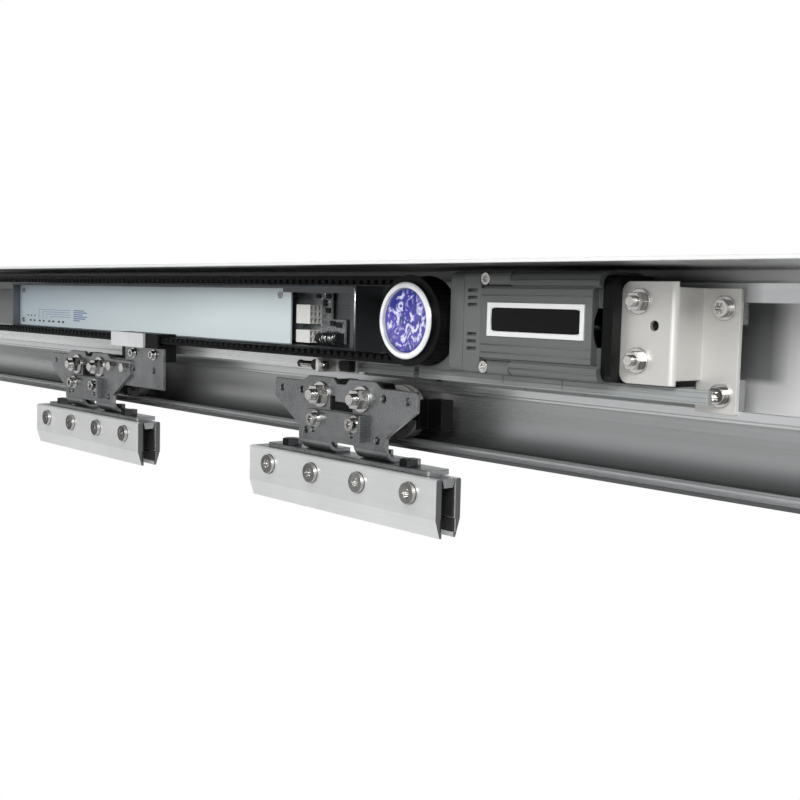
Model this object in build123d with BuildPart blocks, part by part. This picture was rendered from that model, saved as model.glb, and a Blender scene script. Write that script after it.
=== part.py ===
from build123d import *
import math
import os

os.makedirs("parts", exist_ok=True)

# Frame: X along the rail, +Y into the wall, +Z up, origin at the centre of the rail's back face.
# All lengths are millimetres. A depth is how far a face stands in front of the wall, so it is -Y.

# Clearances
belt_gap = 0.3
rolling_gap = 0.3
bearing_gap = 0.05
screw_gap = 0.25
stop_gap = 0.3
pulley_gap = 0.5
pinion_room = 1.5
shoulder_gap = 3.5
hub_gap = 0.3

# Rail extrusion
rail_length = 1450
rail_height = 130
hood_depth = 120
hood_thickness = 2.2
wall_thickness = 3
web_thickness = 2
hook_face = 33
hook_thickness = 3
upper_hook_drop = 10.7
upper_hook_height = 11.1
lower_hook_height = 5.2
channel_height = 39.7
channel_depth = 29
channel_hollow = 2.5
channel_wall = 2.5
lip_depth = 55.5
lip_thickness = 2.6
bead_depth = 42
bead_width = 4
bead_height = 3.4
wall_hole_radius = 4.5
wall_hole_height = 13
wall_hole_left_inset = 135
wall_hole_right_inset = 35
wall_hole_inner = 343

rail_left = -rail_length / 2
rail_right = rail_length / 2
rail_top = rail_height / 2
lip_top = lip_thickness - rail_height / 2
bead_top = lip_top + bead_height
lower_hook_bottom = lip_top + channel_height
lower_hook_top = lower_hook_bottom + lower_hook_height
upper_hook_top = rail_top - upper_hook_drop
upper_hook_bottom = upper_hook_top - upper_hook_height

# Where the drive and the idler stand, measured from the rail's ends
drive_inset = 323
idler_inset = 71

drive_x = rail_right - drive_inset

# Shelf strip and motor console, which clip on the lower hook
strip_inset = 135
strip_gap = 5
strip_lift = 3.8
strip_height = 8.2
strip_depth = 55
strip_flange = 2.5
strip_web = 2.2
strip_hook = 3
strip_foot_gap = 0.3
console_before_drive = 19
console_pieces = (81, 50, 104)
console_seam_gap = 0.4
console_bar = 3
plinth_length = 76

strip_left = rail_left + strip_inset
console_left = drive_x - console_before_drive
console_right = console_left + sum(console_pieces)
plinth_right = console_left - strip_gap
plinth_left = plinth_right - plinth_length
strip_right = plinth_left - strip_gap
strip_bottom = lower_hook_top + strip_lift
strip_top = strip_bottom + strip_height
clip_back = hook_face - hook_thickness - strip_foot_gap
clip_bottom = lower_hook_bottom + strip_foot_gap

# Gearbox and motor
motor_depth = 75
motor_height = 65
motor_rear = 34
motor_shell = 2
gearbox_before_drive = 26
gearbox_length = 57.5
gearbox_wall = 3
gearbox_height = 51
lid_thickness = 5
first_cap_length = 12.5
vent_cap_length = 15
vent_arm_length = 25
vent_arm_height = 9
vent_arm_depth = 8
motor_body_length = 94.5
end_cap_length = 7.5
scallop_length = 4.5
scallop_depth = 6
end_block_length = 29
end_block_height = 50
motor_corner = 6
vent_width = 8.6
vent_height = 2
vent_pitch = 4.6
vent_cut = 3
motor_screw_inset = 3
label_inset = 7
label_end_inset = 9.5
label_height = 21
label_drop = 8
label_rim = 3
rotor_inset = 15
stator_gap = 0.5
stator_ring = 7.5
air_gap = 0.6
rotor_shaft_radius = 3.5
output_shaft_radius = 5
bearing_outer = 9.5
bearing_width = 4.5
bearing_inset = 2
gear_ratio = 3
gear_outer = 15.5
gear_inner = 8.5
gear_thickness = 5
gear_gap = 0.3

motor_z = strip_top + motor_height / 2
rotor_depth = (motor_depth + motor_rear) / 2
rotor_y = -rotor_depth
motor_top = strip_top + motor_height
motor_bore_radius = (motor_depth - motor_rear) / 2 - motor_shell
stator_radius = motor_bore_radius - stator_gap
rotor_radius = stator_radius - stator_ring
gearbox_top = strip_top + gearbox_height
gearbox_left = drive_x - gearbox_before_drive
gearbox_right = gearbox_left + gearbox_length
first_cap_right = gearbox_right + first_cap_length
vent_cap_right = first_cap_right + vent_cap_length
vent_arm_right = vent_cap_right + vent_arm_length
motor_body_right = vent_cap_right + motor_body_length
end_cap_right = motor_body_right + end_cap_length
end_block_right = end_cap_right + end_block_length
rotor_left = vent_cap_right + rotor_inset
rotor_right = motor_body_right - rotor_inset
pinion_radius = (gear_outer + gear_inner) / 2 / gear_ratio
gear_face = rotor_depth - pinion_radius - gear_gap
bearing_rear = motor_rear + bearing_inset
bearing_front = bearing_rear + bearing_width
gearbox_depth = rotor_depth + pinion_radius + pinion_room
gearbox_front = gearbox_depth + lid_thickness

# Toothed belt and pulleys
belt_pitch = 8
pulley_teeth = 22
belt_width = 15
pitch_line_offset = 0.7
belt_back = 1.9
belt_tooth_height = 3.2
belt_tooth_base = 5.2
belt_tooth_tip = 3.4
pulley_groove = 5.7
pulley_groove_clearance = 0.5
pulley_flange_radius = 30.6
pulley_flange = 1.2
pulley_cap_radius = 26
pulley_cap_length = 4
label_radius = 22
label_recess = 2.5
drive_lift = 32

pitch_radius = pulley_teeth * belt_pitch / (2 * math.pi)
land_radius = pitch_radius - pitch_line_offset
pulley_radius = land_radius - belt_gap
groove_radius = land_radius - belt_tooth_height - pulley_groove_clearance
belt_teeth = pulley_teeth + round(2 * (drive_x - rail_left - idler_inset) / belt_pitch)
centre_distance = (belt_teeth - pulley_teeth) * belt_pitch / 2
idler_x = drive_x - centre_distance
drive_z = strip_top + drive_lift
pulley_rear = gearbox_front + pulley_gap
belt_rear = pulley_rear + pulley_flange + belt_gap
belt_depth = belt_rear + belt_width
pulley_front = belt_depth + belt_gap + pulley_flange
lower_run_bottom = drive_z - pitch_radius - belt_back
lower_run_land = drive_z - land_radius

# Control unit
tray_before_drive = 84.5
tray_length = 615.5
tray_bottom = 1
tray_top = 50
tray_depth = 60
tray_sheet = 2
tray_lip = 5.5
tray_end_lip = 6
tray_foot = 15
tray_foot_inset = 50
cover_inset = 91.5
cover_depth = 52
cover_thickness = 1.5
cover_gap = 0.3
cover_boss = 3.5
cover_screw_inset = 14
cover_screw_drop = 8
board_depth = 38
board_thickness = 1.6
board_inset = 38.5
board_notch_width = 17
board_notch_drop = 22
board_start = 10
board_margin = 2
standoff_radius = 3
standoff_inset = 31
standoff_drop = 9
socket_gap = 5
socket_width = 18
socket_pitch = 5
socket_lift = 19
part_room = 1.5
coil_place = 38.5
coil_radius = 4.2
coil_length = 26
coil_lap = 0.4
coil_pad = 1.4

tray_right = drive_x - tray_before_drive
tray_left = tray_right - tray_length
cover_right = tray_right - cover_inset
board_left = tray_left + board_start
board_right = tray_right - board_inset
board_bottom = tray_bottom + tray_sheet + board_margin
board_top = tray_top - tray_sheet - board_margin

# Z bracket that holds the motor's free end
plate = 3
bracket_width = 37
bracket_flange = 23.5
bracket_depth = 63
bracket_bottom = -4.5
bracket_height = 58.5
bracket_web_rise = 3
bracket_corner = 6
bracket_flange_top = 51
bracket_flange_bottom_lap = 2.2
bracket_nut_inset = 12.5
bracket_bend = 4
bracket_nut_height = 33.6
bracket_nut_z = 25.7
bracket_hole_inset = 23
bracket_hole_z = 29
bracket_hole_radius = 3
bracket_bolt_inset = 13.5
upper_bolt_drop = 3.4
lower_bolt_lift = 8.3
clamp_plate_length = 16
clamp_plate_reach = 9

upper_bolt_z = upper_hook_bottom - upper_bolt_drop
lower_bolt_z = lower_hook_top + lower_bolt_lift
flange_bottom = lower_hook_top - bracket_flange_bottom_lap
bracket_left = end_cap_right
bracket_right = bracket_left + bracket_width
bracket_flange_right = bracket_right + bracket_flange
bracket_nut_x = bracket_left + bracket_nut_inset
bracket_hole_x = bracket_left + bracket_hole_inset
bracket_bolt_x = bracket_right + bracket_bolt_inset
end_block_depth = bracket_depth - plate

# Idler station
idler_plate_length = 100
idler_plate_after = 42
idler_slide_length = 40
idler_slide_height = 26
idler_axle_radius = 5
idler_bush = 2
idler_bolt_spread = 36
tension_tab_half = 15
tension_screw_radius = 4
tension_setback = 12

idler_plate_right = idler_x + idler_plate_after
idler_plate_left = idler_plate_right - idler_plate_length
idler_slide_depth = pulley_rear - shoulder_gap
tension_y = tension_setback - idler_slide_depth

# Carriages, door leaf and stops
carriage_a_x = -65
carriage_b_x = 330
travel_right_teeth = 24
travel_left_teeth = 59
hanger_depth = 82
hanger_width = 162
hanger_waist = 100
hanger_wing_drop = 14
hanger_notch = 5
hanger_crown = 38
hanger_crown_rise = 4.3
hanger_crown_run = 7
hanger_hip_rise = 18
hanger_hip_drop = 9
hanger_foot_near = 15
hanger_window = (20, 6.5)
hanger_low_hole = (41, 41)
wheel_radius = 19.5
wheel_groove_radius = 18
wheel_groove_width = 5
wheel_width = 10
wheel_hub_radius = 9
wheel_offset = 23.5
axle_radius = 4
axle_shoulder_radius = 6.5
block_half = 31
block_rear = 57
stud_lift = 10.4
lock_screw_drop = 7.8
lock_screw_shift = 3.5
foot_half = 93
foot_width = 20.5
foot_setback = 1.5
foot_thickness = 3.4
foot_corner = 3
hanger_bend = 11
hanger_reach = 22
hanger_bolt_setback = 16
foot_bolt_x = 68
hanger_bolt_x = 32
clamp_drop = 36
clamp_half_length = 107.5
clamp_setback = 6.3
foot_bolt_back = 1
clamp_bar_top = 5.8
clamp_bar_foot = 4
clamp_bar_height = 6
clamp_head_radius = 7.2
clamp_head_reach = 3
clamp_seat_depth = 1.5
clamp_half_width = 11.3
clamp_height = 39.5
clamp_slot_half = 6.5
clamp_screw_pitch = 54
clamp_screw_drop = 12
glass_half = 5
wiper_near = 58
wiper_width = 14

travel_right = travel_right_teeth * belt_pitch
travel_left = travel_left_teeth * belt_pitch
wheel_z = bead_top + rolling_gap + wheel_groove_radius
clamp_depth_centre = hanger_depth - clamp_setback
foot_bolt_depth = clamp_depth_centre - foot_bolt_back
clamp_top = wheel_z - clamp_drop
foot_top = clamp_top + foot_thickness
hanger_top = wheel_z + 23.7
wing_hole_z = hanger_top - 11.25
stud_z = wheel_z + stud_lift
lock_z = wheel_z - lock_screw_drop

# Belt connector on carriage A, measured from that carriage's centre
connector_left = 56
connector_right = 138
connector_plate_right = 116
connector_bolts = (84, 121)
tie_left = 35
tie_right = 137
tie_drop = 28
tie_overlap = 3
tie_step = 12
wing_bolts = (47, 72)
jaw_rear_lap = 1
jaw_side_gap = 0.5
jaw_wall = 2.5
jaw_bottom_gap = 1
jaw_height = 3.5
jaw_rise = 6

connector_rear = belt_rear - jaw_rear_lap
stop_tip_right = carriage_a_x + connector_right + travel_right + stop_gap
stop_tip_left = carriage_a_x + connector_left - travel_left - stop_gap
buffer_radius = 4.2
buffer_tip = 2
buffer_collar = 4
buffer_rod = 2.4
buffer_reach = 16
stop_arm_setback = 26
stop_foot = 26
buffer_z = strip_top - buffer_radius
buffer_depth = strip_depth + buffer_reach


def save(piece, name):
    piece.part.label = name
    export_step(piece.part, f"parts/{name}.step")


def front(depth):
    # The plane at this depth in front of the wall, facing the viewer.
    return Plane.XZ.offset(depth)


def block(x, depth, z, mode=Mode.ADD):
    # A box from three ranges; depth runs from its rear face to its front face.
    with Locations(((x[0] + x[1]) / 2, -(depth[0] + depth[1]) / 2, (z[0] + z[1]) / 2)):
        Box(x[1] - x[0], depth[1] - depth[0], z[1] - z[0], mode=mode)


def disc(x, z, radius, rear, face, mode=Mode.ADD):
    # A round bar along Y between two depths.
    with Locations(Location((x, -(rear + face) / 2, z), (90, 0, 0))):
        Cylinder(radius, face - rear, mode=mode)


def disc_x(y, z, radius, left, right, mode=Mode.ADD):
    with Locations(Location(((left + right) / 2, y, z), (0, 90, 0))):
        Cylinder(radius, right - left, mode=mode)


def disc_z(x, y, radius, bottom, top, mode=Mode.ADD):
    with Locations((x, y, (bottom + top) / 2)):
        Cylinder(radius, top - bottom, mode=mode)


def hexagon(x, z, across, rear, face):
    with BuildSketch(front(rear)) as outline:
        with Locations((x, z)):
            RegularPolygon(across / 2, 6, major_radius=False)
    extrude(outline.sketch, amount=face - rear)


def hexagon_z(x, y, across, bottom, top):
    with BuildSketch(Plane.XY.offset(bottom)) as outline:
        with Locations((x, y)):
            RegularPolygon(across / 2, 6, major_radius=False)
    extrude(outline.sketch, amount=top - bottom)


def lobe_recess(x, z, radius, face, deep):
    # Six-lobe socket in a screw head whose front is at this depth.
    with BuildSketch(front(face)) as socket:
        with Locations((x, z)):
            Circle(radius * 0.72)
            with PolarLocations(radius * 0.72, 6):
                Circle(radius * 0.28)
    extrude(socket.sketch, amount=-deep, mode=Mode.SUBTRACT)


def flange_screw(x, z, seat, reach, shank_radius, head_radius, head_height):
    # Flanged six-lobe screw, its head on the face at depth seat, its shank reaching back to depth reach.
    disc(x, z, head_radius * 1.4, seat, seat + head_height * 0.25)
    disc(x, z, head_radius, seat, seat + head_height)
    disc(x, z, shank_radius, reach, seat)
    lobe_recess(x, z, head_radius * 0.62, seat + head_height, head_height * 0.5)


def stud_with_nut(x, z, seat, reach, shank_radius, across, nut_height, washer_radius, washer):
    disc(x, z, washer_radius, seat, seat + washer)
    hexagon(x, z, across, seat + washer, seat + washer + nut_height)
    disc(x, z, shank_radius, reach, seat + washer + nut_height + shank_radius)


def rail_section(depth, z):
    with Locations((-(depth[0] + depth[1]) / 2, (z[0] + z[1]) / 2)):
        Rectangle(depth[1] - depth[0], z[1] - z[0])


def make_rail():
    chamber_top = lower_hook_bottom
    chamber_mid = (lip_top + chamber_top) / 2
    with BuildPart() as rail:
        with BuildSketch(Plane.YZ.offset(-rail_length / 2)):
            rail_section((0, hood_depth), (rail_top - hood_thickness, rail_top))
            rail_section((0, wall_thickness), (-rail_height / 2, rail_top))
            rail_section((0, hook_face), (upper_hook_top - web_thickness, upper_hook_top))
            rail_section((hook_face - hook_thickness, hook_face), (upper_hook_bottom, upper_hook_top))
            rail_section((hook_face - hook_thickness, hook_face), (lower_hook_bottom, lower_hook_top))
            rail_section((0, hook_face - 1), (chamber_top - web_thickness, chamber_top))
            rail_section((0, lip_depth), (-rail_height / 2, lip_top))
            with BuildLine():
                face = ThreePointArc(
                    (-channel_depth, lip_top),
                    (channel_hollow - channel_depth, chamber_mid),
                    (-channel_depth, chamber_top),
                )
                back = ThreePointArc(
                    (channel_wall - channel_depth, lip_top),
                    (channel_hollow + channel_wall - channel_depth, chamber_mid),
                    (channel_wall - channel_depth, chamber_top),
                )
                Line(face @ 0, back @ 0)
                Line(face @ 1, back @ 1)
            make_face()
            with Locations((-bead_depth, lip_top + (bead_height - bead_width / 2) / 2)):
                Rectangle(bead_width, bead_height - bead_width / 2)
            with Locations((-bead_depth, bead_top - bead_width / 2)):
                Circle(bead_width / 2)
        extrude(amount=rail_length)
        outer = (rail_left + wall_hole_left_inset, rail_right - wall_hole_right_inset)
        for x in (*outer, -wall_hole_inner, wall_hole_inner):
            disc(x, wall_hole_height, wall_hole_radius, -1, wall_thickness + 1, Mode.SUBTRACT)
    save(rail, "rail_profile")


def clip_section():
    # Section shared by the strip and the console: a foot on the lower hook and a tongue behind it.
    rail_section((clip_back - strip_hook, hook_face), (strip_bottom, strip_bottom + strip_web))
    rail_section((clip_back - strip_hook, clip_back), (clip_bottom, strip_bottom))
    rail_section((hook_face - hook_thickness, hook_face), (lower_hook_top, strip_bottom))


def make_strip():
    with BuildPart() as strip:
        with BuildSketch(Plane.YZ.offset(strip_left)):
            clip_section()
            rail_section((hook_face, strip_depth), (strip_bottom, strip_bottom + strip_web))
            rail_section((strip_depth - strip_flange, strip_depth), (strip_bottom, strip_top))
        extrude(amount=strip_right - strip_left)
    save(strip, "shelf_strip")


def make_console():
    clip_end = bracket_right - plate - 1
    start = console_left
    with BuildPart() as console:
        for length in console_pieces:
            right = start + length - console_seam_gap
            with BuildSketch(Plane.YZ.offset(start)):
                clip_section()
            extrude(amount=min(right, clip_end) - start)
            block((start, min(right, clip_end)), (hook_face, strip_depth), (strip_bottom, strip_top))
            start += length
        block((clip_end, console_right), (strip_depth - console_bar, strip_depth), (strip_bottom, strip_top))
        with BuildSketch(Plane.YZ.offset(plinth_left)):
            clip_section()
        extrude(amount=plinth_length)
        block((plinth_left, plinth_right), (hook_face, strip_depth), (strip_bottom, strip_top))
    save(console, "motor_console")


def belt_point(s, depth):
    # The point at arc length s on the pitch line, moved depth towards the inside of the loop.
    wrap = pitch_radius * math.pi
    reach = pitch_radius - depth
    if s < centre_distance:
        return idler_x + s, drive_z - reach
    if s < centre_distance + wrap:
        angle = (s - centre_distance) / pitch_radius - math.pi / 2
        return drive_x + reach * math.cos(angle), drive_z + reach * math.sin(angle)
    if s < 2 * centre_distance + wrap:
        return drive_x - (s - centre_distance - wrap), drive_z + reach
    angle = (s - 2 * centre_distance - wrap) / pitch_radius + math.pi / 2
    return idler_x + reach * math.cos(angle), drive_z + reach * math.sin(angle)


def make_belt():
    loop = belt_teeth * belt_pitch
    tip = pitch_line_offset + belt_tooth_height
    inside = []
    for tooth in range(belt_teeth):
        middle = tooth * belt_pitch
        inside.append(belt_point((middle - belt_tooth_base / 2) % loop, pitch_line_offset))
        inside.append(belt_point((middle - belt_tooth_tip / 2) % loop, tip))
        inside.append(belt_point((middle + belt_tooth_tip / 2) % loop, tip))
        inside.append(belt_point((middle + belt_tooth_base / 2) % loop, pitch_line_offset))
    with BuildPart() as belt:
        with BuildSketch(front(belt_rear)):
            with Locations(((idler_x + drive_x) / 2, drive_z)):
                SlotCenterToCenter(centre_distance, 2 * (pitch_radius + belt_back))
            with BuildLine():
                Polyline(*inside, close=True)
            make_face(mode=Mode.SUBTRACT)
        extrude(amount=belt_width)
    save(belt, "toothed_belt")


def pulley_body(x, first_groove):
    # Toothed rim between two flanges; a belt tooth sits in the groove at angle first_groove.
    overshoot = 2
    with BuildSketch(front(pulley_rear)) as rim:
        with Locations((x, drive_z)):
            Circle(pulley_radius)
            with PolarLocations((groove_radius + pulley_radius + overshoot) / 2, pulley_teeth, first_groove):
                Rectangle(pulley_radius + overshoot - groove_radius, pulley_groove, mode=Mode.SUBTRACT)
    extrude(rim.sketch, amount=pulley_front - pulley_rear)
    disc(x, drive_z, pulley_flange_radius, pulley_rear, pulley_rear + pulley_flange)
    disc(x, drive_z, pulley_flange_radius, pulley_front - pulley_flange, pulley_front)


def make_drive():
    cap_front = pulley_front + pulley_cap_length
    with BuildPart() as pulley:
        pulley_body(drive_x, 90)
        disc(drive_x, drive_z, output_shaft_radius, pulley_rear - 1, pulley_front + 1, Mode.SUBTRACT)
    save(pulley, "drive_pulley")
    with BuildPart() as cap:
        disc(drive_x, drive_z, pulley_cap_radius, pulley_front, cap_front)
        chamfer(cap.faces().sort_by(Axis.Y)[0].edges(), 1.2)
        disc(drive_x, drive_z, label_radius, cap_front - label_recess, cap_front + 1, Mode.SUBTRACT)
    save(cap, "pulley_cap")
    with BuildPart() as shaft:
        disc(drive_x, drive_z, output_shaft_radius, bearing_rear, pulley_front)
    save(shaft, "output_shaft")
    with BuildPart() as gear:
        disc(drive_x, drive_z, gear_outer, gear_face - gear_thickness, gear_face)
        disc(drive_x, drive_z, gear_inner, gear_face - 2, gear_face + 1, Mode.SUBTRACT)
        disc(drive_x, drive_z, output_shaft_radius + 3, bearing_front + hub_gap, gear_face - 1)
        disc(drive_x, drive_z, output_shaft_radius, motor_rear, gear_face + 1, Mode.SUBTRACT)
    save(gear, "crown_gear")


def make_rotor():
    with BuildPart() as shaft:
        disc_x(rotor_y, drive_z, rotor_shaft_radius, drive_x + gear_outer, end_cap_right - 1)
        disc_x(rotor_y, drive_z, pinion_radius, drive_x + gear_inner, drive_x + gear_outer)
    save(shaft, "pinion_shaft")
    with BuildPart() as core:
        disc_x(rotor_y, drive_z, rotor_radius, rotor_left, rotor_right)
        disc_x(rotor_y, drive_z, rotor_shaft_radius, rotor_left - 1, rotor_right + 1, Mode.SUBTRACT)
    save(core, "rotor_core")


def make_gearbox():
    cavity_z = (strip_top + gearbox_wall, gearbox_top - gearbox_wall)
    with BuildPart() as housing:
        block((gearbox_left, gearbox_right), (motor_rear, gearbox_depth), (strip_top, gearbox_top))
        fillet(housing.edges().filter_by(Axis.Y).group_by(Axis.X)[0], 5)
        block(
            (gearbox_left + gearbox_wall, gearbox_right - gearbox_wall),
            (motor_rear + gearbox_wall, gearbox_depth + 1),
            cavity_z,
            Mode.SUBTRACT,
        )
        disc(drive_x, drive_z, bearing_outer, bearing_rear - 1, bearing_front, Mode.SUBTRACT)
        disc_x(rotor_y, drive_z, pinion_radius + 1, gearbox_right - 5, gearbox_right + 1, Mode.SUBTRACT)
    save(housing, "gearbox_housing")
    with BuildPart() as lid:
        block((gearbox_left, gearbox_right), (gearbox_depth, gearbox_front), (strip_top, gearbox_top))
        fillet(lid.edges().filter_by(Axis.Y).group_by(Axis.X)[0], 5)
        disc(drive_x, drive_z, bearing_outer, gearbox_depth - 1, gearbox_depth + bearing_width, Mode.SUBTRACT)
        disc(drive_x, drive_z, output_shaft_radius + 1, gearbox_depth, pulley_rear, Mode.SUBTRACT)
    save(lid, "gearbox_lid")
    shaft_bearings = (
        (bearing_rear, bearing_front),
        (gearbox_depth, gearbox_depth + bearing_width),
    )
    rotor_bearings = (
        (gearbox_right + 3, gearbox_right + 3 + bearing_width),
        (motor_body_right + 1, motor_body_right + 1 + bearing_width),
    )
    with BuildPart() as bearings:
        for rear, face in shaft_bearings:
            disc(drive_x, drive_z, bearing_outer, rear, face)
            disc(drive_x, drive_z, output_shaft_radius + bearing_gap, rear, face, Mode.SUBTRACT)
        for left, right in rotor_bearings:
            disc_x(rotor_y, drive_z, bearing_outer, left, right)
            disc_x(rotor_y, drive_z, rotor_shaft_radius + bearing_gap, left, right, Mode.SUBTRACT)
    save(bearings, "ball_bearings")


def motor_slab(left, right):
    block((left, right), (motor_rear, motor_depth), (strip_top, motor_top))


def motor_screw_places():
    inset = vent_arm_height / 2
    x = vent_cap_right + motor_screw_inset
    return ((x, motor_top - inset), (x, strip_top + inset))


def make_motor_caps():
    with BuildPart() as first:
        motor_slab(gearbox_right, first_cap_right - 0.3)
        fillet(first.edges().filter_by(Axis.X).group_by(Axis.Y)[0], motor_corner)
        disc_x(rotor_y, drive_z, bearing_outer, gearbox_right + 3, first_cap_right, Mode.SUBTRACT)
        disc_x(rotor_y, drive_z, rotor_shaft_radius + 1, gearbox_right - 1, first_cap_right, Mode.SUBTRACT)
    save(first, "motor_flange_cap")
    arms = ((strip_top, strip_top + vent_arm_height), (motor_top - vent_arm_height, motor_top))
    middle = (vent_cap_right + first_cap_right) / 2
    with BuildPart() as vented:
        motor_slab(first_cap_right, vent_cap_right)
        for z in arms:
            block((vent_cap_right, vent_arm_right), (motor_depth - vent_arm_depth, motor_depth), z)
        fillet(vented.edges().filter_by(Axis.X).group_by(Axis.Y)[0], motor_corner - 2)
        disc_x(rotor_y, drive_z, motor_bore_radius, first_cap_right - 1, vent_cap_right + 1, Mode.SUBTRACT)
        for centre in (motor_z + 16, motor_z - 12):
            for step in (-1, 0, 1):
                z = centre + step * vent_pitch
                block(
                    (middle - vent_width / 2, middle + vent_width / 2),
                    (motor_depth - vent_cut, motor_depth + 1),
                    (z - vent_height / 2, z + vent_height / 2),
                    Mode.SUBTRACT,
                )
        for x, z in motor_screw_places():
            disc(x, z, 4.2, motor_depth - 3, motor_depth + 1, Mode.SUBTRACT)
            disc(x, z, 2 + screw_gap, motor_depth - 9, motor_depth, Mode.SUBTRACT)
    save(vented, "motor_vent_cap")


def make_motor_body():
    groove = 2
    groove_z = (motor_z - 23, motor_z + 23)
    with BuildPart() as body:
        motor_slab(vent_cap_right, motor_body_right)
        fillet(body.edges().filter_by(Axis.X).group_by(Axis.Y)[0], motor_corner)
        disc_x(rotor_y, drive_z, motor_bore_radius, vent_cap_right - 1, motor_body_right + 1, Mode.SUBTRACT)
        for z in (strip_top, motor_top - vent_arm_height):
            block(
                (vent_cap_right - 1, vent_arm_right + screw_gap),
                (motor_depth - vent_arm_depth - screw_gap, motor_depth + 1),
                (z - screw_gap, z + vent_arm_height + screw_gap),
                Mode.SUBTRACT,
            )
        for z in groove_z:
            block(
                (vent_cap_right - 1, motor_body_right + 1),
                (motor_depth - groove, motor_depth + 1),
                (z - 1, z + 1),
                Mode.SUBTRACT,
            )
        block(
            (motor_body_right - scallop_length, motor_body_right + 1),
            (motor_depth - scallop_depth, motor_depth + 1),
            groove_z,
            Mode.SUBTRACT,
        )
        for x, z in motor_screw_places():
            disc(x, z, 2, motor_depth - 16, motor_depth, Mode.SUBTRACT)
    save(body, "motor_body")
    plate_x = (vent_cap_right + label_inset, motor_body_right - label_end_inset)
    plate_z = (motor_z - label_drop, motor_z - label_drop + label_height)
    with BuildPart() as frame:
        block(plate_x, (motor_depth, motor_depth + 1.2), plate_z)
        block(
            (plate_x[0] + label_rim, plate_x[1] - label_rim),
            (motor_depth + 0.4, motor_depth + 2),
            (plate_z[0] + label_rim, plate_z[1] - label_rim),
            Mode.SUBTRACT,
        )
    save(frame, "nameplate_frame")
    with BuildPart() as end:
        end_z = (strip_top + 1, motor_top - 2)
        block((motor_body_right, end_cap_right), (motor_rear, motor_depth - 4), end_z)
        fillet(end.edges().filter_by(Axis.X).group_by(Axis.Y)[0], motor_corner)
        block(
            (end_cap_right, end_block_right),
            (hook_face + plate + 1, end_block_depth),
            (bracket_nut_z - end_block_height / 2, bracket_nut_z + end_block_height / 2),
        )
        seat = motor_body_right + 1 + bearing_width
        disc_x(rotor_y, drive_z, bearing_outer, motor_body_right - 1, seat, Mode.SUBTRACT)
        disc_x(rotor_y, drive_z, rotor_shaft_radius + 1, motor_body_right, end_cap_right, Mode.SUBTRACT)
        for sign in (-1, 1):
            z = bracket_nut_z + sign * bracket_nut_height / 2
            disc(bracket_nut_x, z, 3, end_block_depth - 14, end_block_depth + 1, Mode.SUBTRACT)
    save(end, "motor_end_cap")
    with BuildPart() as stator:
        disc_x(rotor_y, drive_z, stator_radius, rotor_left - 4, rotor_right + 4)
        disc_x(rotor_y, drive_z, rotor_radius + air_gap, rotor_left - 5, rotor_right + 5, Mode.SUBTRACT)
    save(stator, "stator")


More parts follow.
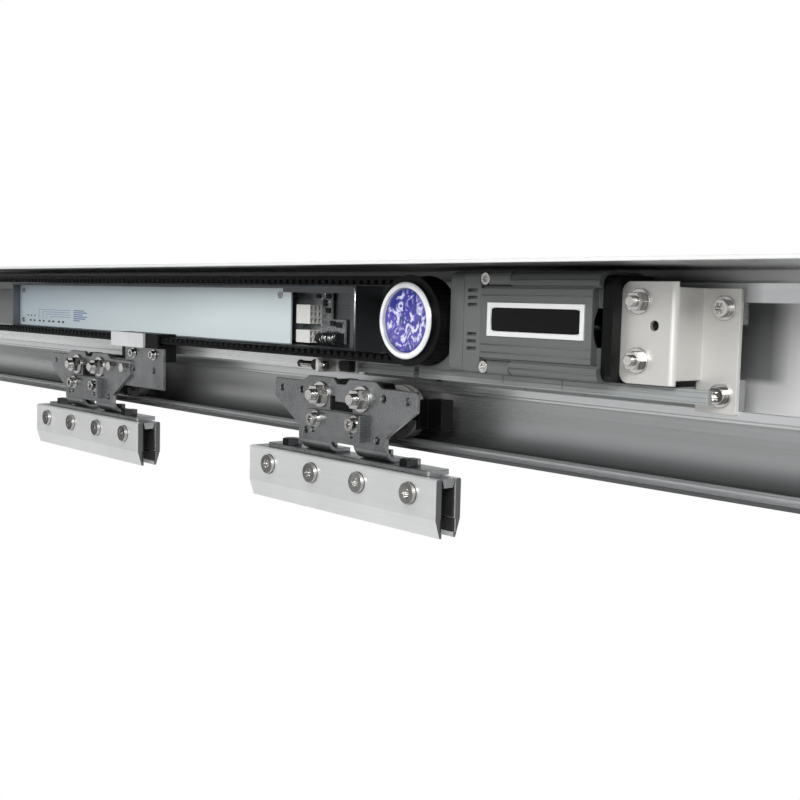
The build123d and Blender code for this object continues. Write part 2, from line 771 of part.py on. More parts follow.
def make_control_unit():
    sheet = tray_sheet
    top = tray_top
    with BuildPart() as tray:
        block((tray_left, tray_right), (hook_face, hook_face + sheet), (tray_bottom, top))
        block((tray_left, tray_right), (hook_face, tray_depth), (top - sheet, top))
        block((tray_left, tray_right), (hook_face, tray_depth), (tray_bottom, tray_bottom + sheet))
        block((tray_left, tray_left + sheet), (hook_face, tray_depth), (tray_bottom, top))
        block((tray_right - sheet, tray_right), (hook_face, tray_depth), (tray_bottom, top))
        block((cover_right, tray_right), (tray_depth - sheet, tray_depth), (top - tray_lip, top))
        block((tray_right - tray_end_lip, tray_right), (tray_depth - sheet, tray_depth), (tray_bottom, top))
        for x in (tray_left + tray_foot_inset, tray_right - tray_foot_inset - tray_foot):
            block((x, x + tray_foot), (strip_depth - strip_flange, strip_depth), (strip_top, tray_bottom))
        ends = (board_left + standoff_inset, board_right - standoff_inset)
        for x in (*ends, sum(ends) / 2):
            for z in (tray_bottom + standoff_drop, top - standoff_drop):
                disc(x, z, standoff_radius, hook_face + sheet, board_depth - board_thickness)
        for x, z in cover_screw_places():
            disc(x, z, cover_boss, hook_face + sheet, cover_depth - cover_thickness)
            disc(x, z, 1.5, cover_depth - 12, cover_depth, Mode.SUBTRACT)
    save(tray, "control_tray")
    inner = (tray_bottom + sheet + cover_gap, top - sheet - cover_gap)
    with BuildPart() as cover:
        rear = cover_depth - cover_thickness
        block((tray_left + sheet + cover_gap, cover_right), (rear, cover_depth), inner)
        for x, z in cover_screw_places():
            disc(x, z, 1.5 + screw_gap, cover_depth - 4, cover_depth + 1, Mode.SUBTRACT)
    save(cover, "control_cover")
    with BuildPart() as board:
        rear = board_depth - board_thickness
        block((board_left, board_right), (rear, board_depth), (board_bottom, board_top))
        block(
            (board_right - board_notch_width, board_right + 1),
            (rear - 1, board_depth + 1),
            (board_top - board_notch_drop, board_top + 1),
            Mode.SUBTRACT,
        )
        for x, z in cover_screw_places():
            disc(x, z, cover_boss + screw_gap, board_depth - 3, board_depth + 1, Mode.SUBTRACT)
    save(board, "circuit_board")
    socket_x = (cover_right + socket_gap, cover_right + socket_gap + socket_width)
    socket_front = cover_depth - 2
    with BuildPart() as connectors:
        for low, rows in ((tray_bottom + socket_lift, 3), (board_bottom, 2)):
            block(socket_x, (board_depth, socket_front), (low, low + rows * socket_pitch))
            pitch_y = (socket_front - board_depth) / 3
            for row in range(rows):
                for column in range(3):
                    y = board_depth + pitch_y * (column + 0.5)
                    mid = low + socket_pitch * (row + 0.5)
                    block(
                        (socket_x[1] - 6, socket_x[1] + 1),
                        (y - pitch_y * 0.32, y + pitch_y * 0.32),
                        (mid - socket_pitch * 0.32, mid + socket_pitch * 0.32),
                        Mode.SUBTRACT,
                    )
    save(connectors, "board_connectors")
    coil_x = cover_right + coil_place
    coil_z = board_bottom + coil_radius
    coil_y = board_depth + coil_radius + coil_lap
    part_front = cover_depth - cover_thickness - part_room
    part_pitch = (cover_right - board_left) / 20
    middle = (board_bottom + board_top) / 2
    with BuildPart() as components:
        with Locations(Location((coil_x, -coil_y, coil_z), (0, 90, 0))):
            Cylinder(coil_radius, coil_length)
        ends = (coil_x - coil_length / 2, coil_x + coil_length / 2)
        block(ends, (board_depth, board_depth + coil_pad), (board_bottom, coil_z + coil_radius))
        for first, last in ((4, 6), (13, 14), (15, 16)):
            ends = (board_left + first * part_pitch, board_left + last * part_pitch)
            block(ends, (board_depth, part_front), (middle - part_pitch / 2, middle + part_pitch / 2))
        for step in (8, 9, 10):
            disc(board_left + step * part_pitch, middle, part_pitch / 3, board_depth, part_front)
    save(components, "board_components")


def cover_screw_places():
    left = tray_left + cover_screw_inset
    high = tray_top - cover_screw_drop
    return ((left, high), (cover_right - cover_screw_inset, high), (left, tray_bottom + cover_screw_drop))


def make_housing_screws():
    with BuildPart() as screws:
        for x, z in motor_screw_places():
            disc(x, z, 3.9, motor_depth - 3, motor_depth - 0.3)
            disc(x, z, 2, motor_depth - 14, motor_depth - 3)
            lobe_recess(x, z, 2.3, motor_depth - 0.3, 1.4)
        for x, z in cover_screw_places():
            disc(x, z, 2.6, cover_depth, cover_depth + 1.4)
            disc(x, z, 1.5, cover_depth - 10, cover_depth)
            lobe_recess(x, z, 1.6, cover_depth + 1.4, 0.8)
    save(screws, "housing_screws")


def make_bracket():
    web_x = (bracket_right - plate, bracket_right)
    with BuildPart() as bracket:
        with BuildSketch(front(bracket_depth - plate)):
            with Locations(((bracket_left + bracket_right) / 2, bracket_bottom + bracket_height / 2)):
                Rectangle(bracket_right - bracket_left, bracket_height)
        extrude(amount=plate)
        fillet(bracket.edges().filter_by(Axis.Y).group_by(Axis.X)[0], bracket_corner)
        block(web_x, (hook_face, bracket_depth), (bracket_bottom + bracket_web_rise, bracket_flange_top))
        fillet(bracket.edges().filter_by(Axis.Z).group_by(Axis.Y)[0].sort_by(Axis.X)[-1], bracket_bend)
        flange_z = (flange_bottom, bracket_flange_top)
        block((web_x[0], bracket_flange_right), (hook_face, hook_face + plate), flange_z)
        for sign in (-1, 1):
            z = bracket_nut_z + sign * bracket_nut_height / 2
            disc(bracket_nut_x, z, 3 + screw_gap, bracket_depth - 4, bracket_depth + 1, Mode.SUBTRACT)
        through = (bracket_depth - plate - 1, bracket_depth + 1)
        disc(bracket_hole_x, bracket_hole_z, bracket_hole_radius, *through, Mode.SUBTRACT)
        for z in (upper_bolt_z, lower_bolt_z):
            disc(bracket_bolt_x, z, 3 + screw_gap, hook_face - 1, hook_face + 4, Mode.SUBTRACT)
    save(bracket, "motor_bracket")


def rail_bolt_places():
    middle = (idler_plate_left + idler_plate_right) / 2
    return (
        (bracket_bolt_x, upper_bolt_z),
        (bracket_bolt_x, lower_bolt_z),
        (middle - idler_bolt_spread, upper_bolt_z),
        (middle + idler_bolt_spread, upper_bolt_z),
        (middle - idler_bolt_spread, lower_bolt_z),
        (middle + idler_bolt_spread, lower_bolt_z),
    )


def make_clamp_plates():
    behind = hook_face - hook_thickness
    with BuildPart() as plates:
        for x, z in rail_bolt_places():
            upper = z == upper_bolt_z
            span = (z - clamp_plate_reach, z + clamp_plate_reach)
            if not upper:
                span = (lower_hook_bottom + 1, z + clamp_plate_reach)
            ends = (x - clamp_plate_length / 2, x + clamp_plate_length / 2)
            block(ends, (behind - 6, behind), span)
            disc(x, z, 3, behind - 7, behind + 1, Mode.SUBTRACT)
    save(plates, "rail_clamp_plates")
    with BuildPart() as fasteners:
        for x, z in rail_bolt_places():
            flange_screw(x, z, hook_face + plate, hook_face - 10, 3, 5, 5.5)
        for sign in (-1, 1):
            z = bracket_nut_z + sign * bracket_nut_height / 2
            stud_with_nut(bracket_nut_x, z, bracket_depth, end_block_depth - 13, 3, 10, 5.5, 7.4, 1.4)
        tension_end = idler_x - idler_slide_length / 2 + 11
        disc_x(tension_y, drive_z, tension_screw_radius, idler_plate_left - 10, tension_end)
        disc_x(tension_y, drive_z, 6.5, idler_plate_left - 6, idler_plate_left)
        disc_x(tension_y, drive_z, 6.5, idler_plate_left + plate, idler_plate_left + plate + 5)
        disc(idler_x, drive_z, idler_axle_radius + 3, pulley_front + belt_gap, pulley_front + 3)
        disc(idler_x, drive_z, idler_axle_radius, pulley_front, pulley_front + 5, Mode.SUBTRACT)
        for tip, way in stop_places():
            arm = tip + way * stop_arm_setback
            disc_x(-buffer_depth, buffer_z, buffer_rod, *ordered(tip + way * buffer_tip, arm + way * 7))
            disc_x(-buffer_depth, buffer_z, 3.6, *ordered(arm + way * plate, arm + way * 6))
            disc_x(-buffer_depth, buffer_z, 3.6, *ordered(arm - way * 3, arm))
    save(fasteners, "rail_fasteners")


def make_idler():
    half = idler_slide_length / 2
    slide_z = (drive_z - idler_slide_height / 2, drive_z + idler_slide_height / 2)
    base = hook_face + plate
    with BuildPart() as bracket:
        block((idler_plate_left, idler_plate_right), (hook_face, base), (flange_bottom, bracket_flange_top))
        for x in (idler_plate_left, idler_plate_right - plate):
            tab_z = (drive_z - tension_tab_half, drive_z + tension_tab_half)
            block((x, x + plate), (hook_face, idler_slide_depth), tab_z)
        disc_x(
            tension_y,
            drive_z,
            tension_screw_radius + screw_gap,
            idler_plate_left - 1,
            idler_plate_left + plate + 1,
            Mode.SUBTRACT,
        )
        with BuildSketch(front(hook_face - 1)) as slot:
            with Locations((idler_x, drive_z)):
                SlotOverall(idler_slide_length, 10)
        extrude(slot.sketch, amount=plate + 2, mode=Mode.SUBTRACT)
        for x, z in rail_bolt_places()[2:]:
            disc(x, z, 3 + screw_gap, hook_face - 1, base + 1, Mode.SUBTRACT)
    save(bracket, "idler_bracket")
    with BuildPart() as axle:
        block((idler_x - half, idler_x + half), (base, idler_slide_depth), slide_z)
        fillet(axle.edges().filter_by(Axis.Y), 2)
        disc(idler_x, drive_z, idler_axle_radius + 3, idler_slide_depth, pulley_rear - belt_gap)
        disc(idler_x, drive_z, idler_axle_radius, pulley_rear - belt_gap, pulley_front + 4)
        disc(idler_x, drive_z, 4, hook_face - 7, base)
        left = idler_x - half
        disc_x(tension_y, drive_z, tension_screw_radius, left - 1, left + 12, Mode.SUBTRACT)
    save(axle, "idler_axle")
    with BuildPart() as pulley:
        pulley_body(idler_x, 270)
        disc(
            idler_x,
            drive_z,
            idler_axle_radius + idler_bush,
            pulley_rear - 1,
            pulley_front + 1,
            Mode.SUBTRACT,
        )
    with BuildPart() as bush:
        disc(idler_x, drive_z, idler_axle_radius + idler_bush, pulley_rear, pulley_front)
        bore = idler_axle_radius + bearing_gap
        disc(idler_x, drive_z, bore, pulley_rear - 1, pulley_front + 1, Mode.SUBTRACT)
    wheel = Compound(children=[pulley.part, bush.part], label="idler_pulley")
    export_step(wheel, "parts/idler_pulley.step")


def stop_places():
    # Each stop: the X of its buffer tip and the way from the tip to its bracket.
    return ((stop_tip_right, 1), (stop_tip_left, -1))


def ordered(a, b):
    return (min(a, b), max(a, b))


def make_stops():
    low = strip_bottom - 1
    high = strip_top + 1
    with BuildPart() as brackets:
        for tip, way in stop_places():
            arm = tip + way * stop_arm_setback
            foot = arm + way * stop_foot
            block(ordered(arm, foot), (strip_depth, strip_depth + plate), (low, high))
            block(ordered(arm, arm + way * plate), (strip_depth, buffer_depth + 5), (low, high))
            disc_x(-buffer_depth, buffer_z, buffer_rod, *ordered(arm - way, arm + way * 4), Mode.SUBTRACT)
            block(
                ordered(arm + way * 5, arm + way * 10),
                (strip_depth - 1, strip_depth + plate + 1),
                (buffer_z - 2.5, buffer_z + 2.5),
                Mode.SUBTRACT,
            )
    save(brackets, "stop_brackets")
    with BuildPart() as buffers:
        for tip, way in stop_places():
            arm = tip + way * stop_arm_setback
            disc_x(-buffer_depth, buffer_z, buffer_rod + 0.4, *ordered(tip, tip + way * buffer_tip))
            collar_end = arm - way * 3
            collar = ordered(collar_end - way * buffer_collar, collar_end)
            disc_x(-buffer_depth, buffer_z, buffer_radius, *collar)
            disc_x(-buffer_depth, buffer_z, buffer_rod, *collar, Mode.SUBTRACT)
            block(
                ordered(arm + way * 14, arm + way * 25),
                (strip_depth + plate, strip_depth + plate + 6),
                (buffer_z - 4, buffer_z + 4),
            )
    save(buffers, "stop_buffers")


def hanger_outline():
    # Right half of the plate's edge from the notch round to the waist, then mirrored.
    half = hanger_width / 2
    waist = hanger_waist / 2
    wing = hanger_top - hanger_crown_rise
    right = (
        (hanger_notch, wing),
        (hanger_notch + hanger_crown_rise, hanger_top),
        (hanger_crown, hanger_top),
        (hanger_crown + hanger_crown_run, wing),
        (half, wing),
        (half, wing - hanger_wing_drop),
        (waist, foot_top + hanger_hip_rise),
        (waist, foot_top + hanger_hip_drop),
    )
    left = tuple((-x, z) for x, z in reversed(right))
    return right + left


def hanger_slots():
    return tuple((sign * wheel_offset, stud_z) for sign in (-1, 1))


def lock_screws():
    return tuple((sign * (wheel_offset - 1) - lock_screw_shift, lock_z) for sign in (-1, 1))


def make_hanger(tag, centre):
    rear = hanger_depth - plate
    low_x, low_drop = hanger_low_hole
    holes = (*((x, wing_hole_z) for x in wing_bolts), (low_x, hanger_top - low_drop))
    with BuildPart() as hanger:
        with BuildSketch(front(rear)):
            with BuildLine():
                Polyline(*((centre + x, z) for x, z in hanger_outline()), close=True)
            make_face()
        extrude(amount=plate)
        fillet(hanger.edges().filter_by(Axis.Y), 2)
        for sign in (-1, 1):
            near = centre + sign * hanger_foot_near
            far = centre + sign * hanger_waist / 2
            left, right = ordered(near, far)
            with BuildSketch(Plane.YZ.offset(left)) as bend:
                with BuildLine():
                    FilletPolyline(
                        (-hanger_depth, foot_top + hanger_bend + 4),
                        (-hanger_depth, foot_top),
                        (hanger_reach - hanger_depth, foot_top),
                        radius=hanger_bend,
                    )
                    offset(amount=plate, side=Side.LEFT)
                make_face()
            extrude(bend.sketch, amount=right - left)
            bolt_y = hanger_bolt_setback - hanger_depth
            x = centre + sign * hanger_bolt_x
            disc_z(x, bolt_y, 3 + screw_gap, foot_top - 1, foot_top + 4, Mode.SUBTRACT)
            for x, z in holes:
                disc(centre + sign * x, z, 2.7, rear - 1, hanger_depth + 1, Mode.SUBTRACT)
        for x, z in hanger_slots():
            with BuildSketch(front(rear - 1)) as slot:
                with Locations((centre + x, z)):
                    SlotOverall(15, 8.6, rotation=90)
            extrude(slot.sketch, amount=plate + 2, mode=Mode.SUBTRACT)
        for x, z in lock_screws():
            disc(centre + x, z, 3 + screw_gap, rear - 1, hanger_depth + 1, Mode.SUBTRACT)
        wide, high = hanger_window
        window_x = centre - wide / 3
        low = stud_z - 4 - high
        block((window_x, window_x + wide), (rear - 1, hanger_depth + 1), (low, low + high), Mode.SUBTRACT)
        block((window_x - high, window_x), (rear - 1, hanger_depth + 1), (low, stud_z), Mode.SUBTRACT)
    save(hanger, f"hanger_plate_{tag}")


def make_lock_plate(tag, centre):
    top = lock_z + 7
    bottom = lock_z - 12
    tab = wheel_offset + 5
    with BuildPart() as lock:
        block((centre - 36, centre + tab), (hanger_depth, hanger_depth + 2), (bottom, top))
        block((centre + tab - 2, centre + tab), (hanger_depth, hanger_depth + 6), (bottom, top))
        for x, z in lock_screws():
            disc(centre + x, z, 3 + screw_gap, hanger_depth - 1, hanger_depth + 3, Mode.SUBTRACT)
            disc(centre + x - 4, z - 8, 2.4, hanger_depth - 1, hanger_depth + 3, Mode.SUBTRACT)
    save(lock, f"lock_plate_{tag}")


def make_block(tag, centre):
    face = hanger_depth - plate
    top = hanger_top - 2.5
    with BuildPart() as body:
        block((centre - block_half, centre + block_half), (block_rear, face), (foot_top + 16, top))
        fillet(body.edges().filter_by(Axis.Y), 4)
        block((centre - 4, centre + 5), (face - 9, face), (top - 2, hanger_top - 0.5))
        for x, z in hanger_slots():
            disc(centre + x, z, axle_radius, block_rear + 7, face + 1, Mode.SUBTRACT)
            disc(centre + x, wheel_z, axle_radius, block_rear - 1, block_rear + 5, Mode.SUBTRACT)
        for x, z in lock_screws():
            disc(centre + x, z, 3, face - 12, face + 1, Mode.SUBTRACT)
    save(body, f"carriage_block_{tag}")


def make_foot(tag, centre):
    y = hanger_depth - hanger_bolt_setback
    face = hanger_depth - foot_setback
    bar = (
        (clamp_bar_top, clamp_top),
        (clamp_bar_foot, clamp_top - clamp_bar_height),
        (-clamp_bar_foot, clamp_top - clamp_bar_height),
        (-clamp_bar_top, clamp_top),
    )
    with BuildPart() as foot:
        block((centre - foot_half, centre + foot_half), (face - foot_width, face), (clamp_top, foot_top))
        fillet(foot.edges().filter_by(Axis.Z), foot_corner)
        with BuildSketch(Plane.YZ.offset(centre - clamp_half_length)):
            with BuildLine():
                Polyline(*((side - clamp_depth_centre, z) for side, z in bar), close=True)
            make_face()
        extrude(amount=2 * clamp_half_length)
        for sign in (-1, 1):
            x = centre + sign * foot_bolt_x
            disc_z(x, -foot_bolt_depth, 4 + screw_gap, clamp_top, foot_top + 1, Mode.SUBTRACT)
            disc_z(x, -foot_bolt_depth, 4, clamp_top - clamp_bar_height - 1, clamp_top, Mode.SUBTRACT)
            disc_z(centre + sign * hanger_bolt_x, -y, 3, clamp_top - 1, foot_top + 1, Mode.SUBTRACT)
    save(foot, f"foot_plate_{tag}")


def make_carriage_fasteners(tag, centre):
    y = hanger_bolt_setback - hanger_depth
    wheel_front = bead_depth + wheel_width / 2
    wheel_rear = bead_depth - wheel_width / 2
    with BuildPart() as fasteners:
        for x, z in hanger_slots():
            stud_with_nut(centre + x, z, hanger_depth, block_rear + 7, 4, 13, 6.5, 9.5, 1.6)
            disc(centre + x, wheel_z, axle_radius, wheel_rear - 3, block_rear + 5)
            disc(centre + x, wheel_z, axle_shoulder_radius, wheel_front + rolling_gap, block_rear)
            disc(centre + x, wheel_z, axle_shoulder_radius, wheel_rear - 2, wheel_rear - rolling_gap)
        for x, z in lock_screws():
            flange_screw(centre + x, z, hanger_depth + 2, hanger_depth - plate - 11, 3, 4.6, 6.5)
        for sign in (-1, 1):
            foot_x = centre + sign * foot_bolt_x
            hexagon_z(foot_x, -foot_bolt_depth, 13, foot_top, foot_top + 5.3)
            disc_z(foot_x, -foot_bolt_depth, 4, clamp_top - clamp_bar_height, foot_top)
            hexagon_z(centre + sign * hanger_bolt_x, y, 10, foot_top + plate, foot_top + plate + 4)
            disc_z(centre + sign * hanger_bolt_x, y, 3, clamp_top, foot_top + plate)
    save(fasteners, f"carriage_fasteners_{tag}")


def make_wheels(tag, centre):
    wheel_front = bead_depth + wheel_width / 2
    wheel_rear = bead_depth - wheel_width / 2
    groove = (bead_depth - wheel_groove_width / 2, bead_depth + wheel_groove_width / 2)
    for number, sign in ((1, -1), (2, 1)):
        x = centre + sign * wheel_offset
        with BuildPart() as wheel:
            disc(x, wheel_z, wheel_radius, wheel_rear, wheel_front)
            chamfer(wheel.edges().filter_by(GeomType.CIRCLE), 0.6)
            disc(x, wheel_z, wheel_radius + 1, *groove, Mode.SUBTRACT)
            disc(x, wheel_z, wheel_groove_radius, *groove)
            disc(x, wheel_z, wheel_hub_radius + 4, wheel_front - 1.5, wheel_front + 1, Mode.SUBTRACT)
            disc(x, wheel_z, wheel_hub_radius, wheel_front - 2, wheel_front)
            disc(x, wheel_z, axle_radius + bearing_gap, wheel_rear - 1, wheel_front + 1, Mode.SUBTRACT)
        save(wheel, f"wheel_{tag}{number}")


def make_wiper(tag, centre, way):
    # Steel strap from the block's side, bent back towards the rail, with a plastic wiper pad.
    near = centre + way * wiper_near
    with BuildPart() as wiper:
        strap_x = ordered(centre + way * block_half, near)
        block(strap_x, (block_rear, block_rear + 2), (wheel_z - 3, wheel_z + 7))
        block(ordered(near - way * 2, near), (bead_depth - 3, block_rear + 2), (wheel_z - 9, wheel_z + 12))
        block(
            ordered(near, near + way * wiper_width),
            (bead_depth - 3, bead_depth + 8),
            (wheel_z - 9, wheel_z + 12),
        )
    save(wiper, f"track_wiper_{tag}")


def clamp_screw_places(centre):
    first = centre - 1.5 * clamp_screw_pitch
    return tuple((first + clamp_screw_pitch * i, clamp_top - clamp_screw_drop) for i in range(4))


def make_clamp(tag, centre):
    taper = 12.5
    seat = 9
    lip = 3.5
    bottom = clamp_top - clamp_height
    jaw = (
        (clamp_half_width, clamp_top - 1),
        (clamp_half_width - 1, clamp_top),
        (clamp_slot_half, clamp_top),
        (clamp_slot_half, bottom + lip + seat),
        (clamp_slot_half + 0.8, bottom + lip + seat),
        (clamp_slot_half + 0.8, bottom + lip),
        (glass_half + 0.4, bottom + lip),
        (glass_half + 0.4, bottom),
        (clamp_half_width - 4, bottom),
        (clamp_half_width, bottom + taper),
    )
    left = centre - clamp_half_length
    with BuildPart() as jaws:
        for side in (-1, 1):
            with BuildSketch(Plane.YZ.offset(left)):
                with BuildLine():
                    Polyline(*((side * y - clamp_depth_centre, z) for y, z in jaw), close=True)
                make_face()
            extrude(amount=2 * clamp_half_length)
        face = clamp_depth_centre + clamp_half_width
        for x, z in clamp_screw_places(centre):
            disc(x, z, 3 + screw_gap, clamp_depth_centre, face + 1, Mode.SUBTRACT)
            disc(x, z, clamp_head_radius + 0.4, face - clamp_seat_depth, face + 1, Mode.SUBTRACT)
            disc(x, z, 3, clamp_depth_centre - clamp_half_width - 1, clamp_depth_centre, Mode.SUBTRACT)
    save(jaws, f"glass_clamp_{tag}")
    with BuildPart() as screws:
        for x, z in clamp_screw_places(centre):
            disc(x, z, clamp_head_radius, face - clamp_seat_depth, face + clamp_head_reach)
            disc(x, z, 3, clamp_depth_centre - clamp_half_width + 1, face - clamp_seat_depth)
            lobe_recess(x, z, clamp_head_radius * 0.5, face + clamp_head_reach, 2.4)
    save(screws, f"clamp_screws_{tag}")
    pad_top = clamp_top - clamp_bar_height - 1
    with BuildPart() as pads:
        for side in (-1, 1):
            inner = clamp_depth_centre + side * (glass_half + 0.05)
            block(
                (left + 1, centre + clamp_half_length - 1),
                ordered(inner, clamp_depth_centre + side * clamp_slot_half),
                (bottom + lip + seat + 1, pad_top),
            )
            block(
                (left + 1, centre + clamp_half_length - 1),
                ordered(inner, clamp_depth_centre + side * (clamp_slot_half + 0.8)),
                (bottom + lip, bottom + lip + seat - 0.5),
            )
        for x, z in clamp_screw_places(centre):
            disc(x, z, 3 + screw_gap, clamp_depth_centre - clamp_half_width, face, Mode.SUBTRACT)
    save(pads, f"glass_pads_{tag}")


def make_connector():
    # Ties carriage A to the lower run: steel bracket, toothed jaw open to the rear, plate in front.
    centre = carriage_a_x
    behind = hanger_depth - plate
    left = centre + connector_left
    right = centre + connector_right
    plate_right = centre + connector_plate_right
    face = belt_depth + jaw_side_gap
    jaw_top = lower_run_land + jaw_rise
    jaw_bottom = lower_run_bottom - jaw_bottom_gap - jaw_height
    tab_low = hanger_top - tie_overlap
    bolt_z = (jaw_bottom + tab_low) / 2
    with BuildPart() as bracket:
        low = hanger_top - tie_drop
        block((centre + tie_left, centre + tie_right), (behind - plate, behind), (low, tab_low))
        block((left + tie_step, centre + tie_right), (behind - plate, behind), (tab_low, jaw_bottom))
        for x in connector_bolts:
            with BuildSketch(front(behind - plate - 1)) as slot:
                with Locations((centre + x, bolt_z)):
                    SlotOverall(12, 2 * (2.5 + screw_gap))
            extrude(slot.sketch, amount=plate + 2, mode=Mode.SUBTRACT)
            disc(centre + x, wing_hole_z, 2.7, behind - plate - 1, behind + 1, Mode.SUBTRACT)
        for x in wing_bolts:
            disc(centre + x, wing_hole_z, 2.5, behind - plate - 1, behind + 1, Mode.SUBTRACT)
    save(bracket, "connector_bracket")
    with BuildPart() as jaw:
        block((left, right), (connector_rear, behind - plate), (tab_low, jaw_bottom))
        block((left, right), (connector_rear, face), (jaw_bottom, lower_run_bottom - jaw_bottom_gap))
        block((left, right), (face, face + jaw_wall), (jaw_bottom, jaw_top))
        block((left, right), (belt_rear - jaw_side_gap, face), (lower_run_land + belt_gap, jaw_top))
        first = math.floor((left - idler_x) / belt_pitch)
        last = math.ceil((right - idler_x) / belt_pitch)
        for tooth in range(first, last + 1):
            x = idler_x + tooth * belt_pitch
            block(
                (x - belt_tooth_base / 2 - belt_gap, x + belt_tooth_base / 2 + belt_gap),
                (belt_rear - 1, belt_depth + jaw_side_gap),
                (lower_run_land - 1, lower_run_land + belt_tooth_height + belt_gap),
                Mode.SUBTRACT,
            )
        for x in connector_bolts:
            disc(centre + x, bolt_z, 2.5, connector_rear - 1, behind, Mode.SUBTRACT)
    save(jaw, "connector_jaw")
    with BuildPart() as cover:
        block((left, plate_right), (face + jaw_wall, face + 2 * jaw_wall), (jaw_bottom, jaw_top))
        fillet(cover.edges().filter_by(Axis.Y), 1)
    save(cover, "connector_plate")
    with BuildPart() as screws:
        for x in connector_bolts:
            flange_screw(centre + x, bolt_z, behind, connector_rear + 1, 2.5, 3.6, 4)
        for x in wing_bolts:
            hexagon(centre + x, wing_hole_z, 8, hanger_depth, hanger_depth + 4)
            disc(centre + x, wing_hole_z, 2.5, behind - plate - 4, hanger_depth)
    save(screws, "connector_screws")


def make_carriage(tag, centre, wiper_way):
    make_hanger(tag, centre)
    make_lock_plate(tag, centre)
    make_block(tag, centre)
    make_foot(tag, centre)
    make_carriage_fasteners(tag, centre)
    make_wheels(tag, centre)
    make_wiper(tag, centre, wiper_way)
    make_clamp(tag, centre)


make_rail()
make_strip()
make_console()
make_belt()
make_drive()
make_rotor()
make_gearbox()
make_motor_caps()
make_motor_body()
make_control_unit()
make_housing_screws()
make_bracket()
make_clamp_plates()
make_idler()
make_stops()
make_carriage("a", carriage_a_x, -1)
make_carriage("b", carriage_b_x, 1)
make_connector()
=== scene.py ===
import math
from collections import namedtuple

import bmesh
import bpy
import numpy as np
from mathutils import Matrix, Vector


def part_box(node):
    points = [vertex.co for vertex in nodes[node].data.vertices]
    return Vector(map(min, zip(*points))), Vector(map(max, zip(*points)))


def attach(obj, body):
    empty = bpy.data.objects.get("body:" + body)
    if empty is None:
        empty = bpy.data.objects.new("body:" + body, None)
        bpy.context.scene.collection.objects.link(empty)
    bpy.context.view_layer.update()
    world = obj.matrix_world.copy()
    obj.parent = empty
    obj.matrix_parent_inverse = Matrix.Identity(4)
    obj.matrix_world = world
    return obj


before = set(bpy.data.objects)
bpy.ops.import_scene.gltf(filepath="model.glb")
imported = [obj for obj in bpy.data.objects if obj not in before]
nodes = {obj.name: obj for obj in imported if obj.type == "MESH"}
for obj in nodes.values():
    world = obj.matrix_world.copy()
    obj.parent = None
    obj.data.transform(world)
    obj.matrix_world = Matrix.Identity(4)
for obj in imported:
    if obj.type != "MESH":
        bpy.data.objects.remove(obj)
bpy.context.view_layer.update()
mm = 0.001
print("stage: frame loaded,", len(nodes), "nodes")


def toLinear(hexCode):
    # sRGB hex to linear RGBA
    channels = [int(hexCode[i:i + 2], 16) / 255 for i in (1, 3, 5)]
    return [c / 12.92 if c <= 0.04045 else ((c + 0.055) / 1.055) ** 2.4 for c in channels] + [1.0]


def feed(tree, node, inputs):
    # an input is a value or the socket that feeds it
    for name, value in inputs.items():
        if isinstance(value, bpy.types.NodeSocket):
            tree.links.new(value, node.inputs[name])
        else:
            node.inputs[name].default_value = value


def addNode(tree, kind, inputs=None, **settings):
    # one node with its settings and inputs
    node = tree.nodes.new(kind)
    for name, value in settings.items():
        setattr(node, name, value)
    feed(tree, node, inputs or {})
    return node


def newFinish(name):
    # an empty material, its shader and the object's own coordinates
    material = bpy.data.materials.new(name)
    material.use_nodes = True
    tree = material.node_tree
    tree.nodes.clear()
    shader = addNode(tree, "ShaderNodeBsdfPrincipled")
    addNode(tree, "ShaderNodeOutputMaterial", {"Surface": shader.outputs["BSDF"]})
    place = addNode(tree, "ShaderNodeTexCoord").outputs["Object"]
    return material, tree, shader, place


def onlyNode(tree, kind):
    # the one node of its kind in a tree
    return next(node for node in tree.nodes if node.bl_idname == kind)


def mixed(tree, share, first, second):
    # from the first colour at share 0 to the second at 1
    # sockets 0, 6, 7 and output 2 are the colour mix's factor, two colours and result
    colours = [toLinear(tint) if isinstance(tint, str) else tint for tint in (first, second)]
    return addNode(tree, "ShaderNodeMix", {0: share, 6: colours[0], 7: colours[1]}, data_type="RGBA").outputs[2]


def mapped(tree, value, source=(0.0, 1.0), target=(0.0, 1.0)):
    # a value carried from one range to another and held at its ends
    ends = {"From Min": source[0], "From Max": source[1], "To Min": target[0], "To Max": target[1]}
    return addNode(tree, "ShaderNodeMapRange", {"Value": value, **ends}).outputs[0]


def ramp(tree, value, start, end):
    # 0 where a place or length is at start, 1 where it is at end, both in mm
    return mapped(tree, value, (start * mm, end * mm))


def maths(tree, operation, *values, **settings):
    # one step of arithmetic on numbers and sockets
    return addNode(tree, "ShaderNodeMath", dict(enumerate(values)), operation=operation, **settings).outputs[0]


def axesOf(tree, place):
    # a vector's parts by name
    return addNode(tree, "ShaderNodeSeparateXYZ", {"Vector": place}).outputs


def perMetre(size):
    # how many marks of a size in mm go into a metre
    return 1 / (size * mm)


def noise(tree, place, scale, detail, **shape):
    # soft noise, scale marks to a metre
    inputs = {"Vector": place, "Scale": scale, "Detail": detail, **shape}
    return addNode(tree, "ShaderNodeTexNoise", inputs).outputs["Fac"]


def bumped(tree, height, relief, edge=None):
    # relief in mm; edge is the rounding in mm that a real corner has and that catches the light
    inputs = {"Strength": 1.0, "Distance": relief * mm, "Height": height}
    if edge is not None:
        inputs["Normal"] = addNode(tree, "ShaderNodeBevel", {"Radius": edge * mm}, samples=6).outputs["Normal"]
    return addNode(tree, "ShaderNodeBump", inputs).outputs["Normal"]


